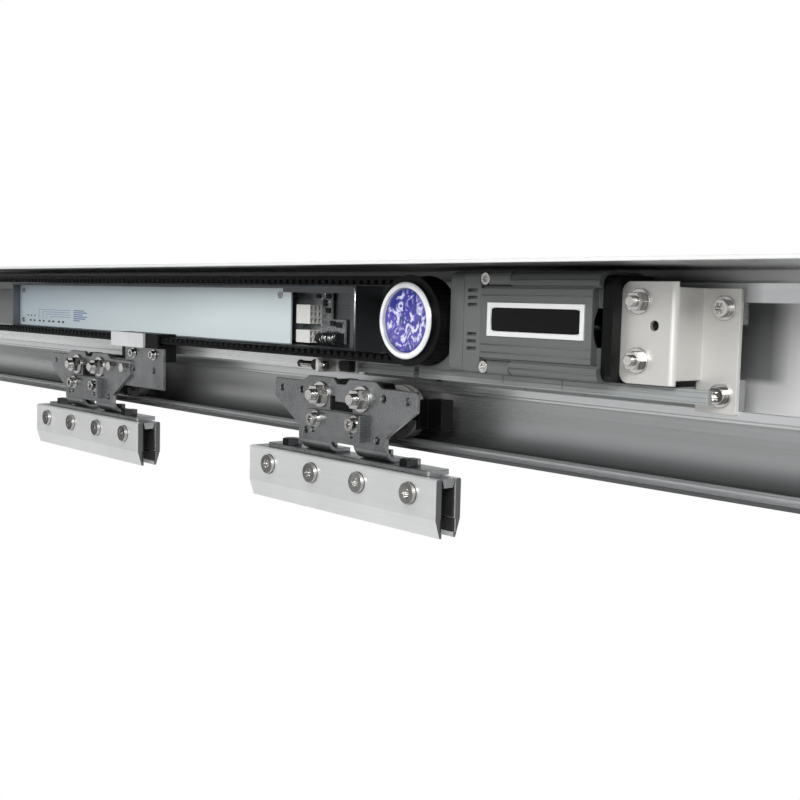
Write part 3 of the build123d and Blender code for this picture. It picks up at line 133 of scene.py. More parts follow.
def grainedFinish(name, tint, shade, roughness, grain, cloud=30, relief=0.01, edge=0.3,
                  metallic=0.0, coat=0.0, specular=0.5):
    # grain: the size of the fine marks along x, y, z in mm; cloud: the size of the soft patches
    material, tree, shader, place = newFinish(name)
    spread = (0.7, 1.3)
    scale = [perMetre(size) for size in grain]
    stretched = addNode(tree, "ShaderNodeMapping", {"Vector": place, "Scale": scale}).outputs["Vector"]
    fine = noise(tree, stretched, 1.0, 3.0)
    broad = noise(tree, place, perMetre(cloud), 2.0)
    marks = mapped(tree, maths(tree, "ADD", fine, broad), spread)
    feed(tree, shader, {"Base Color": mixed(tree, marks, shade, tint),
                        "Roughness": mapped(tree, marks, target=roughness),
                        "Normal": bumped(tree, fine, relief, edge),
                        "Metallic": metallic, "Coat Weight": coat, "Specular IOR Level": specular})
    return material


def recoloured(material, tint, mask):
    # lays a second colour over a finish where mask, a function of the tree and the place, gives one
    tree = material.node_tree
    shader = onlyNode(tree, "ShaderNodeBsdfPrincipled")
    share = mask(tree, onlyNode(tree, "ShaderNodeTexCoord").outputs["Object"])
    under = shader.inputs["Base Color"].links[0].from_socket
    feed(tree, shader, {"Base Color": mixed(tree, share, under, tint)})


def scatterWhere(material, metallic, mask):
    # lets a finish scatter more of its light where the mask gives one
    tree = material.node_tree
    share = mask(tree, onlyNode(tree, "ShaderNodeTexCoord").outputs["Object"])
    feed(tree, onlyNode(tree, "ShaderNodeBsdfPrincipled"), {"Metallic": mapped(tree, share, target=metallic)})


Corners = namedtuple("Corners", "left rear bottom right front top")


def corners(node):
    # a node's box in millimetres, with depths counted from the wall forwards
    low, high = (np.array(corner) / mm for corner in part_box(node))
    return Corners(low[0], -high[1], low[2], high[0], -low[1], high[2])


def sawnEnds(tree, place):
    # faces that look along the rail, left and right, which get painted shade
    square = (0.8, 0.95)
    facing = axesOf(tree, addNode(tree, "ShaderNodeNewGeometry").outputs["True Normal"])
    return mapped(tree, maths(tree, "ABSOLUTE", facing["X"]), square)


def lowBolts(tree, place):
    # the bolts on the foot, which stand lower than everything else in their node
    bolts = {"reach": 8, "fade": 0.5}
    limit = corners("foot_plate_a").top + bolts["reach"]
    return ramp(tree, axesOf(tree, place)["Z"], limit, limit - bolts["fade"])


def backWall(tree, place):
    # the rail's back wall and the hood's nose, brushed duller than the rest and given painted light; ramps in
    # mm
    wall = {"depth": (-14, -10), "noseDepth": (-115, -118), "noseHeight": (48, 52)}
    axes = axesOf(tree, place)
    fore = ramp(tree, axes["Y"], *wall["noseDepth"])
    high = ramp(tree, axes["Z"], *wall["noseHeight"])
    return maths(tree, "MAXIMUM", ramp(tree, axes["Y"], *wall["depth"]), maths(tree, "MULTIPLY", fore, high))


def deepShade(tree, place):
    # painted shade inside the hood: it darkens the wall up to the motor bracket, the roof not so far
    shade = {"wallEnd": (636, 624), "roofEnd": (600, 560), "roofHeight": (55, 57)}
    limits = {"overStrip": ("Z", -4, 0), "underTop": ("Z", 64.4, 63.6),
              "behindNose": ("Y", -117, -113), "beforeBack": ("Y", -0.6, -1.4)}
    axes = axesOf(tree, place)
    ends = {2: ramp(tree, axes["X"], *shade["wallEnd"]), 3: ramp(tree, axes["X"], *shade["roofEnd"])}
    # sockets 0, 2, 3 are the number mix's factor and its two values
    inner = addNode(tree, "ShaderNodeMix", {0: ramp(tree, axes["Z"], *shade["roofHeight"]), **ends}).outputs[0]
    for axis, start, end in limits.values():
        inner = maths(tree, "MULTIPLY", inner, ramp(tree, axes[axis], start, end))
    return inner


def stripFar(tree, place):
    # the strip's last stretch, under the bracket, darkened as painted shade
    stretch = (545, 566)
    return ramp(tree, axesOf(tree, place)["X"], *stretch)


def channelDust(tree, place):
    # painted shade: the hollow wall the wheels run in front of greys towards its foot
    footShade = {"height": (40, 8), "fore": (-24, -25), "hind": (-32, -31)}
    bottom = corners("rail_profile").bottom
    axes = axesOf(tree, place)
    low = ramp(tree, axes["Z"], *(bottom + height for height in footShade["height"]))
    band = maths(tree, "MULTIPLY", ramp(tree, axes["Y"], *footShade["fore"]), ramp(tree, axes["Y"], *footShade["hind"]))
    return maths(tree, "MULTIPLY", low, band)


def lipEdge(tree, place):
    # the narrow front face of the lowest lip, which gets painted shade
    lip = {"height": (2.9, 2.3), "depth": (-55.0, -55.4)}
    bottom = corners("rail_profile").bottom
    axes = axesOf(tree, place)
    low = ramp(tree, axes["Z"], *(bottom + height for height in lip["height"]))
    return maths(tree, "MULTIPLY", low, ramp(tree, axes["Y"], *lip["depth"]))


def capSkirt(tree, place):
    # the cap's outer wall, behind its rounded rim
    skirt = {"inset": (0.9, 0.5), "behind": (0.7, 1.1)}
    cap = corners("pulley_cap")
    radius = (cap.right - cap.left) / 2
    centre = Vector(((cap.left + cap.right) / 2 * mm, 0, (cap.bottom + cap.top) / 2 * mm))
    local = addNode(tree, "ShaderNodeMapping", {"Vector": place, "Location": -centre}).outputs["Vector"]
    flat = addNode(tree, "ShaderNodeVectorMath", {0: local, 1: (1, 0, 1)}, operation="MULTIPLY").outputs[0]
    reach = addNode(tree, "ShaderNodeVectorMath", {0: flat}, operation="LENGTH").outputs["Value"]
    outer = ramp(tree, reach, *(radius - inset for inset in skirt["inset"]))
    behind = ramp(tree, axesOf(tree, place)["Y"], *(depth - cap.front for depth in skirt["behind"]))
    return maths(tree, "MULTIPLY", outer, behind)


# Anodised aluminium pressed through a die: long faint lines along the rail and a satin sheen, duller on its
# back wall. Painted light makes the back wall and the hood's nose paler; painted shade greys the channel wall
# towards its foot and darkens the inside of the hood and the front of its lowest lip.
anodisedRail = grainedFinish("anodised_extruded_aluminium", "#e4e5e6", "#d6d7d8", (0.26, 0.33), (420, 0.6, 0.6),
                             cloud=180, relief=0.002, edge=0.9, metallic=0.86)
scatterWhere(anodisedRail, (0.86, 0.3), backWall)
# painted shade on the lip's front face, painted light on the back wall and nose, painted shade towards the
# channel's foot and inside the hood
for tint, mask in (("#6c6d6e", lipEdge), ("#f0f0f0", backWall), ("#747576", channelDust),
                   ("#929394", deepShade)):
    recoloured(anodisedRail, tint, mask)
# The strip on the hook: the same process, a little paler and smoother, with painted shade where the bracket
# covers it.
anodisedStrip = grainedFinish("anodised_strip_aluminium", "#f1f2f2", "#e4e5e6", (0.24, 0.32), (260, 0.5, 0.5),
                              cloud=90, relief=0.002, edge=0.5, metallic=0.6)
recoloured(anodisedStrip, "#5c5d5e", stripFar)
# Clamp jaws: thick anodised profile, finely brushed along its length, its sawn end faces darkened as painted
# shade.
brushedClamp = grainedFinish("brushed_anodised_clamp", "#e4e5e5", "#d2d3d3", (0.32, 0.42), (60, 0.3, 0.3),
                             cloud=55, relief=0.003, edge=0.7, metallic=0.55)
recoloured(brushedClamp, "#5b5c5d", sawnEnds)
# Zinc plated sheet steel: grey, finely speckled by the plating's crystals, bright where an edge is rounded.
zincSheet = grainedFinish("zinc_plated_sheet_steel", "#a5a7a8", "#747677", (0.24, 0.36), (0.8, 0.8, 0.8),
                          cloud=24, relief=0.014, edge=1.0, metallic=0.92)
# The motor bracket: pale passivated zinc, even and satin, with hardly a speckle.
satinZinc = grainedFinish("satin_passivated_zinc_bracket", "#dfdedb", "#d5d4d0", (0.38, 0.46), (0.7, 0.7, 0.7),
                          cloud=60, relief=0.003, edge=0.9, metallic=0.5)
# Nuts, washers and screws: bright zinc over turned and rolled steel, close to a mirror with fine wear.
# The carriages' fasteners: the same zinc on studs, nuts and screws, black oxide on the bolts of the foot.
brightZinc, footBlack = (grainedFinish(name, "#d6d5d2", "#b4b3b1", (0.12, 0.22), (0.6, 0.6, 0.6),
                                       cloud=12, relief=0.006, edge=0.5, metallic=1.0)
                         for name in ("bright_zinc_fastener", "zinc_fasteners_black_foot_bolts"))
recoloured(footBlack, "#3a3b3c", lowBolts)
# Hardened gear and shaft steel, ground.
groundSteel = grainedFinish("ground_gear_steel", "#a4a6a8", "#7d8083", (0.18, 0.30), (0.5, 6, 0.5),
                            cloud=12, relief=0.006, edge=0.3, metallic=1.0)
# Punched laminations of the motor, seen only from its ends.
laminatedSteel = grainedFinish("laminated_electrical_steel", "#7f8284", "#55585a", (0.35, 0.5), (0.35, 9, 9),
                               cloud=20, relief=0.05, edge=0.2, metallic=1.0)
# Pulleys turned from aluminium and anodised black, so they sink into the belt's shadow.
blackPulley = grainedFinish("black_anodised_pulley", "#121314", "#0a0a0b", (0.32, 0.44), (3, 0.25, 3),
                            cloud=18, relief=0.01, edge=0.35, specular=0.2)
# Rolled sheet of the control tray: mid grey, mill lines along it.
rolledSheet = grainedFinish("rolled_aluminium_tray", "#808387", "#5f6265", (0.30, 0.44), (60, 0.6, 0.6),
                            cloud=60, relief=0.005, edge=0.6, metallic=0.9)
# The folded edge at the tray's end: nearly white, a painted highlight on the fold.
foldedEdgeHighlight = grainedFinish("folded_edge_painted_highlight", "#f2f2f2", "#dededf", (0.18, 0.28), (0.5, 0.5, 20),
                           cloud=30, relief=0.003, edge=0.3, metallic=1.0)
# Powder coat on the gearbox casting: mid grey, a fine pebble.
powderGrey = grainedFinish("powder_coated_gearbox", "#636664", "#5c5f5d", (0.42, 0.52), (0.8, 0.8, 0.8),
                           cloud=35, relief=0.012, edge=0.8)
# The motor's end caps: moulded grey with a matt, spark-eroded skin.
mouldedGrey = grainedFinish("moulded_grey_motor_cap", "#656866", "#5e615f", (0.40, 0.52), (0.5, 0.5, 0.5),
                            cloud=45, relief=0.012, edge=0.8)
# The motor body: painted extrusion, satin, a touch darker than its caps.
paintedBody = grainedFinish("painted_motor_extrusion", "#636664", "#5b5e5c", (0.34, 0.46), (80, 0.6, 0.6),
                            cloud=60, relief=0.01, edge=0.7)
# The console under the motor: grey extruded plastic.
consolePlastic = grainedFinish("extruded_grey_plastic", "#9da0a0", "#8d9090", (0.34, 0.46), (120, 0.5, 0.5),
                               cloud=50, relief=0.012, edge=0.5)
# Black moulded nylon: end block, carriage blocks, wipers and the belt's jaw.
blackNylon = grainedFinish("black_moulded_nylon", "#0b0c0c", "#060607", (0.36, 0.5), (0.6, 0.6, 0.6),
                           cloud=25, relief=0.01, edge=0.8, specular=0.22)
# Grey filled nylon of the wheels, turned on its tread.
wheelNylon = grainedFinish("turned_grey_nylon_wheel", "#a9a8a5", "#8d8c8a", (0.30, 0.42), (1.2, 0.3, 1.2),
                           cloud=15, relief=0.02, edge=0.5)
# Soft rubber of the buffers and the pads behind the glass.
softRubber = grainedFinish("matt_black_rubber", "#232324", "#161617", (0.6, 0.75), (0.7, 0.7, 0.7),
                           cloud=20, relief=0.03, edge=0.5)
# Natural white nylon of the plug sockets.
socketNylon = grainedFinish("white_socket_nylon", "#ebebe7", "#dededa", (0.34, 0.44), (0.6, 0.6, 0.6),
                            cloud=14, relief=0.01, edge=0.35)
# Lacquered parts on the board: dark, half gloss.
lacquered = grainedFinish("lacquered_board_parts", "#2b2a2a", "#191818", (0.22, 0.4), (0.8, 0.8, 0.8),
                          cloud=8, relief=0.03, edge=0.4)
# Satin silver of the label's frame.
labelSilver = grainedFinish("satin_silver_label_frame", "#fbfbfb", "#eff0f1", (0.30, 0.40), (40, 0.4, 0.4),
                            cloud=30, relief=0.003, edge=0.4, metallic=0.4)
# Light grey plastic plate in front of the belt's jaw.
lightPlate = grainedFinish("light_grey_moulded_plate", "#c9cacb", "#b9babb", (0.30, 0.42), (0.5, 0.5, 0.5),
                           cloud=20, relief=0.01, edge=0.6)
# Ground and polished bearing rings.
bearingSteel = grainedFinish("polished_bearing_steel", "#c9cacc", "#aeb0b3", (0.10, 0.2), (4, 0.3, 4),
                             cloud=10, relief=0.004, edge=0.3, metallic=1.0)
# Moulded white cap, high gloss under a clear coat, its skirt black like the pulley behind it.
glossWhite = grainedFinish("gloss_white_moulded_cap", "#f4f4f6", "#d9dade", (0.10, 0.2), (6, 6, 6),
                           cloud=10, relief=0.05, edge=0.9, coat=0.8)
recoloured(glossWhite, "#101011", capSkirt)
# Dark solder mask over copper tracks.
solderMask = grainedFinish("solder_mask_board", "#8f9394", "#5c6061", (0.34, 0.5), (2.4, 1, 1.2),
                           cloud=6, relief=0.02, edge=0.2)
# Bare gloss panel inside the label's frame: a film, black and wet looking.
glossPanel = grainedFinish("gloss_black_label_film", "#0c0c0d", "#08080a", (0.12, 0.2), (9, 9, 9),
                           cloud=20, relief=0.004, edge=0.2, specular=0.12)
# Moulded chip cases, matt black epoxy.
chipEpoxy = grainedFinish("matt_black_chip_epoxy", "#1d1e20", "#131415", (0.45, 0.6), (0.4, 0.4, 0.4),
                          cloud=6, relief=0.01, edge=0.2)
# Tinned wire and solder joints: small bright metal.
tinnedLead = grainedFinish("tinned_solder", "#d9dadb", "#b3b5b6", (0.18, 0.3), (0.4, 0.4, 0.4),
                           cloud=4, relief=0.008, edge=0.1, metallic=1.0)
# Screen-printed lines on the cover: flat blue ink.
blueInk = grainedFinish("blue_screen_ink", "#3a5a92", "#31508a", (0.45, 0.55), (0.6, 0.6, 0.6),
                        cloud=12, relief=0.001, edge=0.02)
print("stage: plain finishes")


def beltFinish():
    # Black polyurethane belt: a fine cross weave on its back that glints a little.
    material, tree, shader, place = newFinish("black_toothed_belt")
    weave = {"cell": (2.6, 3.4, 2.6), "lump": (0.15, 0.6), "relief": 0.10, "edge": 0.4}
    scale = [perMetre(size) for size in weave["cell"]]
    cross = addNode(tree, "ShaderNodeMapping", {"Vector": place, "Scale": scale}).outputs["Vector"]
    cells = addNode(tree, "ShaderNodeTexVoronoi", {"Vector": cross, "Scale": 1.0, "Randomness": 0.15})
    lump = mapped(tree, cells.outputs["Distance"], weave["lump"])
    feed(tree, shader, {"Base Color": mixed(tree, lump, "#18191a", "#060607"),
                        "Roughness": mapped(tree, lump, target=(0.34, 0.62)),
                        "Normal": bumped(tree, lump, weave["relief"], weave["edge"]),
                        "Specular IOR Level": 0.15})
    return material


def coverFinish():
    # Pale blue-grey film on the control unit's cover, with painted light: paler to the right and along its
    # lower edge.
    low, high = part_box("control_cover")
    film = {"grit": 0.8, "relief": 0.01, "lowerShare": 0.35}
    material, tree, shader, place = newFinish("blue_grey_film_cover")
    axes = axesOf(tree, place)
    along = mapped(tree, axes["X"], (low[0], high[0]))
    up = mapped(tree, axes["Z"], (low[2], high[2]), (film["lowerShare"], 0.0))
    # painted light: the paler colour's share grows to the right and towards the lower edge
    fade = maths(tree, "ADD", along, up, use_clamp=True)
    grit = noise(tree, place, perMetre(film["grit"]), 2.0)
    feed(tree, shader, {"Base Color": mixed(tree, fade, "#98a6b0", "#dae5e7"),
                        "Roughness": mapped(tree, grit, target=(0.36, 0.5)),
                        "Normal": bumped(tree, grit, film["relief"])})
    return material


def rosetteFinish():
    # Glossy violet and blue film: swirled pale flakes over a violet ground, and a plain rim.
    low, high = (Vector(corner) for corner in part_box("pulley_cap"))
    film = {"flake": 12, "flakeCut": (0.50, 0.60), "patch": 16, "patchCut": (0.38, 0.62),
            "rim": (21.5, 17), "relief": 0.12}
    material, tree, shader, place = newFinish("violet_rosette_film")
    toMiddle = -(low + high) / 2
    local = addNode(tree, "ShaderNodeMapping", {"Vector": place, "Location": toMiddle}).outputs["Vector"]
    axes = axesOf(tree, local)
    squares = [maths(tree, "POWER", axes[axis], 2.0) for axis in "XZ"]
    radius = maths(tree, "SQRT", maths(tree, "ADD", *squares))
    flakes = noise(tree, local, perMetre(film["flake"]), 4.0, Roughness=0.6, Distortion=2.8)
    flake = maths(tree, "MULTIPLY", mapped(tree, flakes, film["flakeCut"]), ramp(tree, radius, *film["rim"]))
    hue = mapped(tree, noise(tree, local, perMetre(film["patch"]), 2.0, Distortion=1.5), film["patchCut"])
    ground = mixed(tree, hue, "#25307f", "#4a3aa4")
    feed(tree, shader, {"Base Color": mixed(tree, flake, ground, "#d5d6f2"), "Roughness": 0.16,
                        "Coat Weight": 0.5, "Normal": bumped(tree, flakes, film["relief"])})
    return material


dressing = {
    anodisedRail: ["rail_profile"],
    anodisedStrip: ["shelf_strip"],
    consolePlastic: ["motor_console"],
    rolledSheet: ["control_tray"],
    solderMask: ["circuit_board"],
    socketNylon: ["board_connectors"],
    lacquered: ["board_components"],
    powderGrey: ["gearbox_housing", "gearbox_lid"],
    bearingSteel: ["ball_bearings"],
    mouldedGrey: ["motor_flange_cap", "motor_vent_cap"],
    paintedBody: ["motor_body"],
    labelSilver: ["nameplate_frame"],
    blackNylon: ["motor_end_cap", "carriage_block_a", "carriage_block_b", "track_wiper_a", "track_wiper_b",
                 "connector_jaw"],
    laminatedSteel: ["stator", "rotor_core"],
    satinZinc: ["motor_bracket", "stop_brackets"],
    zincSheet: ["rail_clamp_plates", "idler_bracket", "hanger_plate_a", "hanger_plate_b", "lock_plate_a",
                "lock_plate_b", "foot_plate_a", "foot_plate_b", "connector_bracket"],
    brightZinc: ["rail_fasteners", "housing_screws", "clamp_screws_a", "clamp_screws_b", "connector_screws"],
    footBlack: ["carriage_fasteners_a", "carriage_fasteners_b"],
    groundSteel: ["idler_axle", "output_shaft", "crown_gear", "pinion_shaft"],
    blackPulley: ["drive_pulley", "idler_pulley"],
    softRubber: ["stop_buffers", "glass_pads_a", "glass_pads_b"],
    brushedClamp: ["glass_clamp_a", "glass_clamp_b"],
    wheelNylon: ["wheel_a1", "wheel_a2", "wheel_b1", "wheel_b2"],
    lightPlate: ["connector_plate"],
    glossWhite: ["pulley_cap"],
    beltFinish(): ["toothed_belt"],
    coverFinish(): ["control_cover"],
}
for material, names in dressing.items():
    for name in names:
        for materialSlot in nodes[name].material_slots:
            materialSlot.material = material
print("stage: CAD nodes dressed")


def makePiece(name, surface, material, body):
    # one mesh at the origin, with its place in its vertices; doubles merged and faces turned out
    verts, faces = surface
    mesh = bpy.data.meshes.new(name)
    mesh.from_pydata(np.asarray(verts).reshape(-1, 3).tolist(), [], np.asarray(faces).tolist())
    mesh.materials.append(material)
    piece = bpy.data.objects.new(name, mesh)
    bpy.context.scene.collection.objects.link(piece)
    work = bmesh.new()
    work.from_mesh(mesh)
    bmesh.ops.remove_doubles(work, verts=work.verts, dist=1e-6)
    bmesh.ops.recalc_face_normals(work, faces=work.faces)
    work.to_mesh(mesh)
    work.free()
    mesh.polygons.foreach_set("use_smooth", [True] * len(mesh.polygons))
    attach(piece, body)


def gridFaces(rows, columns):
    # quads of a grid that closes on itself along its columns
    r, c = np.meshgrid(np.arange(rows - 1), np.arange(columns), indexing="ij")
    right = (c + 1) % columns
    corner = [r * columns + c, r * columns + right, (r + 1) * columns + right, (r + 1) * columns + c]
    return np.stack(corner, axis=-1).reshape(-1, 4)


def signedPower(wave, power):
    # a power that keeps the sign
    return np.sign(wave) * np.abs(wave) ** power


def slabs(boxes):
    # flat blocks from (left, right, rear depth, front depth, bottom, top) rows in mm, as superellipsoids:
    # x = a c(v) c(u), y = b c(v) s(u), z = c s(v), each cosine and sine raised to the same small power
    block = {"power": 0.12, "rows": 11, "columns": 24}
    left, right, rear, front, bottom, top = np.asarray(boxes, dtype=float).T * mm
    centres = np.stack([left + right, -rear - front, bottom + top], axis=1) / 2
    halves = np.stack([right - left, front - rear, top - bottom], axis=1) / 2
    v, u = np.meshgrid(np.linspace(-np.pi / 2, np.pi / 2, block["rows"]),
                       np.linspace(0, 2 * np.pi, block["columns"], endpoint=False), indexing="ij")
    waves = (np.cos(v), np.sin(v), np.cos(u), np.sin(u))
    cosV, sinV, cosU, sinU = (signedPower(wave, block["power"]) for wave in waves)
    shape = np.stack([cosV * cosU, cosV * sinU, sinV], axis=-1)
    verts = centres[:, None, None, :] + halves[:, None, None, :] * shape[None]
    starts = np.arange(len(centres)) * block["rows"] * block["columns"]
    faces = gridFaces(block["rows"], block["columns"])[None] + starts[:, None, None]
    return verts, faces.reshape(-1, 4)


def tube(path, radius, sides, aside=None):
    # a circle carried along the path: centre + r cos(a) n + r sin(a) b, with n and b square to the run;
    # n is also square to aside, or else to y, or to x where the path runs along y
    run = np.gradient(path, axis=0)
    run /= np.linalg.norm(run, axis=1, keepdims=True)
    helper = np.where(np.abs(run[:, 1:2]) > 0.9, np.array([[1.0, 0, 0]]), np.array([[0, 1.0, 0]]))
    if aside is not None:
        helper = np.broadcast_to(np.asarray(aside, dtype=float), run.shape)
    side = np.cross(run, helper)
    side /= np.linalg.norm(side, axis=1, keepdims=True)
    other = np.cross(run, side)
    turn = np.linspace(0, 2 * np.pi, sides, endpoint=False)
    ring = np.cos(turn)[None, :, None] * side[:, None, :] + np.sin(turn)[None, :, None] * other[:, None, :]
    return path[:, None, :] + radius[:, None, None] * ring, gridFaces(len(path), sides)


def turned(profile, centre, sides):
    # a profile of (radius, depth) turned about an axis along y: x = r cos(a), y = -depth, z = r sin(a)
    radius, depth = np.asarray(profile, dtype=float).T * mm
    turn = np.linspace(0, 2 * np.pi, sides, endpoint=False)
    x = centre[0] + radius[:, None] * np.cos(turn)
    z = centre[1] + radius[:, None] * np.sin(turn)
    y = np.broadcast_to(-depth[:, None], x.shape)
    return np.stack([x, y, z], axis=-1), gridFaces(len(radius), sides)


def joined(surfaces):
    # several surfaces as one mesh, with the face numbers moved on
    verts = [np.asarray(part[0]).reshape(-1, 3) for part in surfaces]
    starts = np.cumsum([0] + [len(part) for part in verts[:-1]])
    return np.concatenate(verts), np.concatenate([part[1] + start for part, start in zip(surfaces, starts)])


def rods(paths, radius, sides=8):
    # straight or bent rods through points in mm, their ends drawn in to a point
    built = []
    tip = 1e-5
    for path in paths:
        path = np.asarray(path, dtype=float) * mm
        path = np.concatenate([path[:1], path, path[-1:]])
        radii = np.full(len(path), radius * mm)
        radii[0] = radii[-1] = 0
        step = (path[2] - path[1]) / np.linalg.norm(path[2] - path[1])
        path[0] -= tip * step
        path[-1] += tip * step
        built.append(tube(path, radii, sides))
    return joined(built)


def makeDisc():
    # the printed disc in the pulley's cap: slightly domed, z rises as r falls
    disc = {"radius": 21.6, "recess": 2.5, "dome": 0.5, "film": 0.4, "rings": 14, "sides": 64}
    cap = corners("pulley_cap")
    seat = cap.front - disc["recess"]
    radii = np.linspace(disc["radius"], 0, disc["rings"])
    faceDepth = seat + disc["film"] + disc["dome"] * (1 - (radii / disc["radius"]) ** 2)
    profile = [(0, seat), (disc["radius"], seat), *zip(radii, faceDepth)]
    centre = ((cap.left + cap.right) / 2 * mm, (cap.bottom + cap.top) / 2 * mm)
    surface = turned(profile, centre, disc["sides"])
    makePiece("violet_disc_face", surface, rosetteFinish(), "drive")


def makeLabelPanel():
    # the bare film inside the label's frame
    panel = {"rim": 3.15, "seat": 0.4, "film": 0.25}
    box = corners("nameplate_frame")
    seat = box.rear + panel["seat"]
    sheet = (box.left + panel["rim"], box.right - panel["rim"], seat, seat + panel["film"],
             box.bottom + panel["rim"], box.top - panel["rim"])
    makePiece("label_film", slabs([sheet]), glossPanel, "rail_frame")


def makeBodyRibs():
    # raised lines that the die leaves along the motor body, above and below the label
    # each run: how far its lines end from the left and from the right, and their heights from the middle
    ribs = {"radius": 0.45, "runs": ((1, 5, (17.5, -13.5, -18.5)), (26, 1, (27.0, -27.5)))}
    body = corners("motor_body")
    middle = (body.bottom + body.top) / 2
    paths = [[(x, -body.front, middle + height) for x in (body.left + fromLeft, body.right - fromRight)]
             for fromLeft, fromRight, heights in ribs["runs"] for height in heights]
    makePiece("motor_body_ribs", rods(paths, ribs["radius"]), paintedBody, "rail_frame")


def makeConsoleRibs():
    # fine ridges on the console's front
    ribs = {"radius": 0.28, "inset": 0.5, "drops": (1.6, 4.4, 7.0)}
    box = corners("motor_console")
    ends = (box.left + ribs["inset"], box.right - ribs["inset"])
    paths = [[(x, -box.front, box.top - drop) for x in ends] for drop in ribs["drops"]]
    makePiece("console_ridges", rods(paths, ribs["radius"]), consolePlastic, "rail_frame")


def makeTrayEdge():
    # the folded bead down the tray's right end and the turned corner above it
    bead = {"radius": 1.3, "lap": 0.4, "foot": 1, "bend": 2, "turn": (0.8, 1.2), "sides": 14}
    tray = corners("control_tray")
    x, y = tray.right - bead["radius"], bead["radius"] - bead["lap"] - tray.front
    path = [(x, y, tray.bottom + bead["foot"]), (x, y, tray.top - bead["bend"]),
            (x - bead["turn"][0], y, tray.top - bead["turn"][1])]
    surface = rods([path], bead["radius"], bead["sides"])
    makePiece("tray_end_bead", surface, foldedEdgeHighlight, "rail_frame")


def makeBoardParts():
    # chips and solder joints on the open end of the board
    box = corners("circuit_board")
    # places: x from the board's right and z from its bottom to the middle, width, height
    chips = {"proud": 1.8, "places": [(-21, 26, 5, 4), (-25, 32, 4, 5), (-21, 37, 5, 3.5), (-7, 15, 7, 4),
                                      (-15, 16, 5, 4), (-34, 37, 5, 3)]}
    boxes = [(box.right + x - w / 2, box.right + x + w / 2, box.front, box.front + chips["proud"],
              box.bottom + z - h / 2, box.bottom + z + h / 2) for x, z, w, h in chips["places"]]
    makePiece("board_chips", slabs(boxes), chipEpoxy, "rail_frame")
    joints = {"seed": 11, "count": 60, "reach": 30, "side": 2, "low": 10, "high": 2,
              "proud": 0.9, "half": (0.4, 0.9)}
    notch = {"width": 17, "drop": 22, "room": 1.5}
    seeded = np.random.default_rng(joints["seed"])
    across = seeded.uniform(box.right - joints["reach"], box.right - joints["side"], joints["count"])
    upwards = seeded.uniform(box.bottom + joints["low"], box.top - joints["high"], joints["count"])
    # none over the cut-out in the board's upper corner
    leftOf, under = box.right - notch["width"] - notch["room"], box.top - notch["drop"] - notch["room"]
    onBoard = (across < leftOf) | (upwards < under)
    across, upwards = across[onBoard], upwards[onBoard]
    halfWide, halfHigh = seeded.uniform(*joints["half"], (len(across), 2)).T
    depth = np.full(len(across), box.front)
    boxes = np.column_stack([across - halfWide, across + halfWide, depth, depth + joints["proud"],
                             upwards - halfHigh, upwards + halfHigh])
    makePiece("board_solder", slabs(boxes), tinnedLead, "rail_frame")


def makeCoil():
    # loose wire on the rod: a helix along x whose radius breathes a little from turn to turn;
    # its ends taper off
    coil = {"radius": 4.2, "wire": 0.55, "length": 18, "turns": 7, "lap": 0.4, "back": 11.2,
            "points": 420, "sides": 6}
    loose = {"swell": 0.35, "swellTurns": 0.37, "drift": 0.5, "driftTurns": 0.61, "taper": 80, "tip": 0.02}
    board = corners("circuit_board")
    along = np.linspace(-0.5, 0.5, coil["points"])
    turn = 2 * np.pi * coil["turns"] * along
    reach = coil["radius"] + coil["wire"] + loose["swell"] * np.sin(turn * loose["swellTurns"]) ** 2
    drift = loose["drift"] * np.sin(turn * loose["driftTurns"])
    x = board.right - coil["back"] + coil["length"] * along + drift
    y = -(board.front + coil["radius"] + coil["lap"]) + reach * np.cos(turn)
    z = board.bottom + coil["radius"] + reach * np.sin(turn)
    radii = coil["wire"] * mm * np.clip((0.5 - np.abs(along)) * loose["taper"], loose["tip"], 1)
    wire = tube(np.stack([x, y, z], axis=1) * mm, radii, coil["sides"], aside=(1, 0, 0))
    makePiece("coil_windings", wire, tinnedLead, "rail_frame")


def makeDiagram():
    # a plain line drawing printed on the cover: dots, angled rules and a few dashes, no letters
    cover = corners("control_cover")
    ink = {"sunk": 0.05, "proud": 0.06, "row": 4.5}
    dot = {"start": 26, "pair": 24, "side": 10, "width": 4.5, "height": 1.9}
    small = {"start": 20, "step": 9, "width": 3.2, "lift": 5.5, "height": 1.5}
    rule = {"start": 50, "step": 10, "length": 78, "lift": 13.2, "drop": 2.4, "thick": 0.4,
            "leg": 0.7, "foot": 3.4}
    dash = {"start": 135, "widths": (24, 31, 21, 31, 27, 15), "drop": 2.1, "thick": 0.9}

    def mark(x, width, z, height):
        return (cover.left + x, cover.left + x + width, cover.front - ink["sunk"], cover.front + ink["proud"],
                cover.bottom + ink["row"] + z, cover.bottom + ink["row"] + z + height)

    lines = [mark(dash["start"], width, rule["lift"] - dash["drop"] * i, dash["thick"])
             for i, width in enumerate(dash["widths"])]
    for i in range(4):
        x, z = rule["start"] + rule["step"] * i, rule["lift"] - rule["drop"] * i
        lines.append(mark(x, rule["length"] - rule["step"] * i, z, rule["thick"]))
        lines.append(mark(x, rule["leg"], rule["foot"], z + rule["thick"] - rule["foot"]))
    makePiece("cover_line_drawing", slabs(lines), blueInk, "rail_frame")
    dots = [mark(dot["start"] + dot["pair"] * pair + dot["side"] * side, dot["width"], 0, dot["height"])
            for pair in range(4) for side in range(2)]
    dots += [mark(small["start"] + small["step"] * i, small["width"], small["lift"], small["height"])
             for i in range(3)]
    makePiece("cover_dots", slabs(dots), chipEpoxy, "rail_frame")


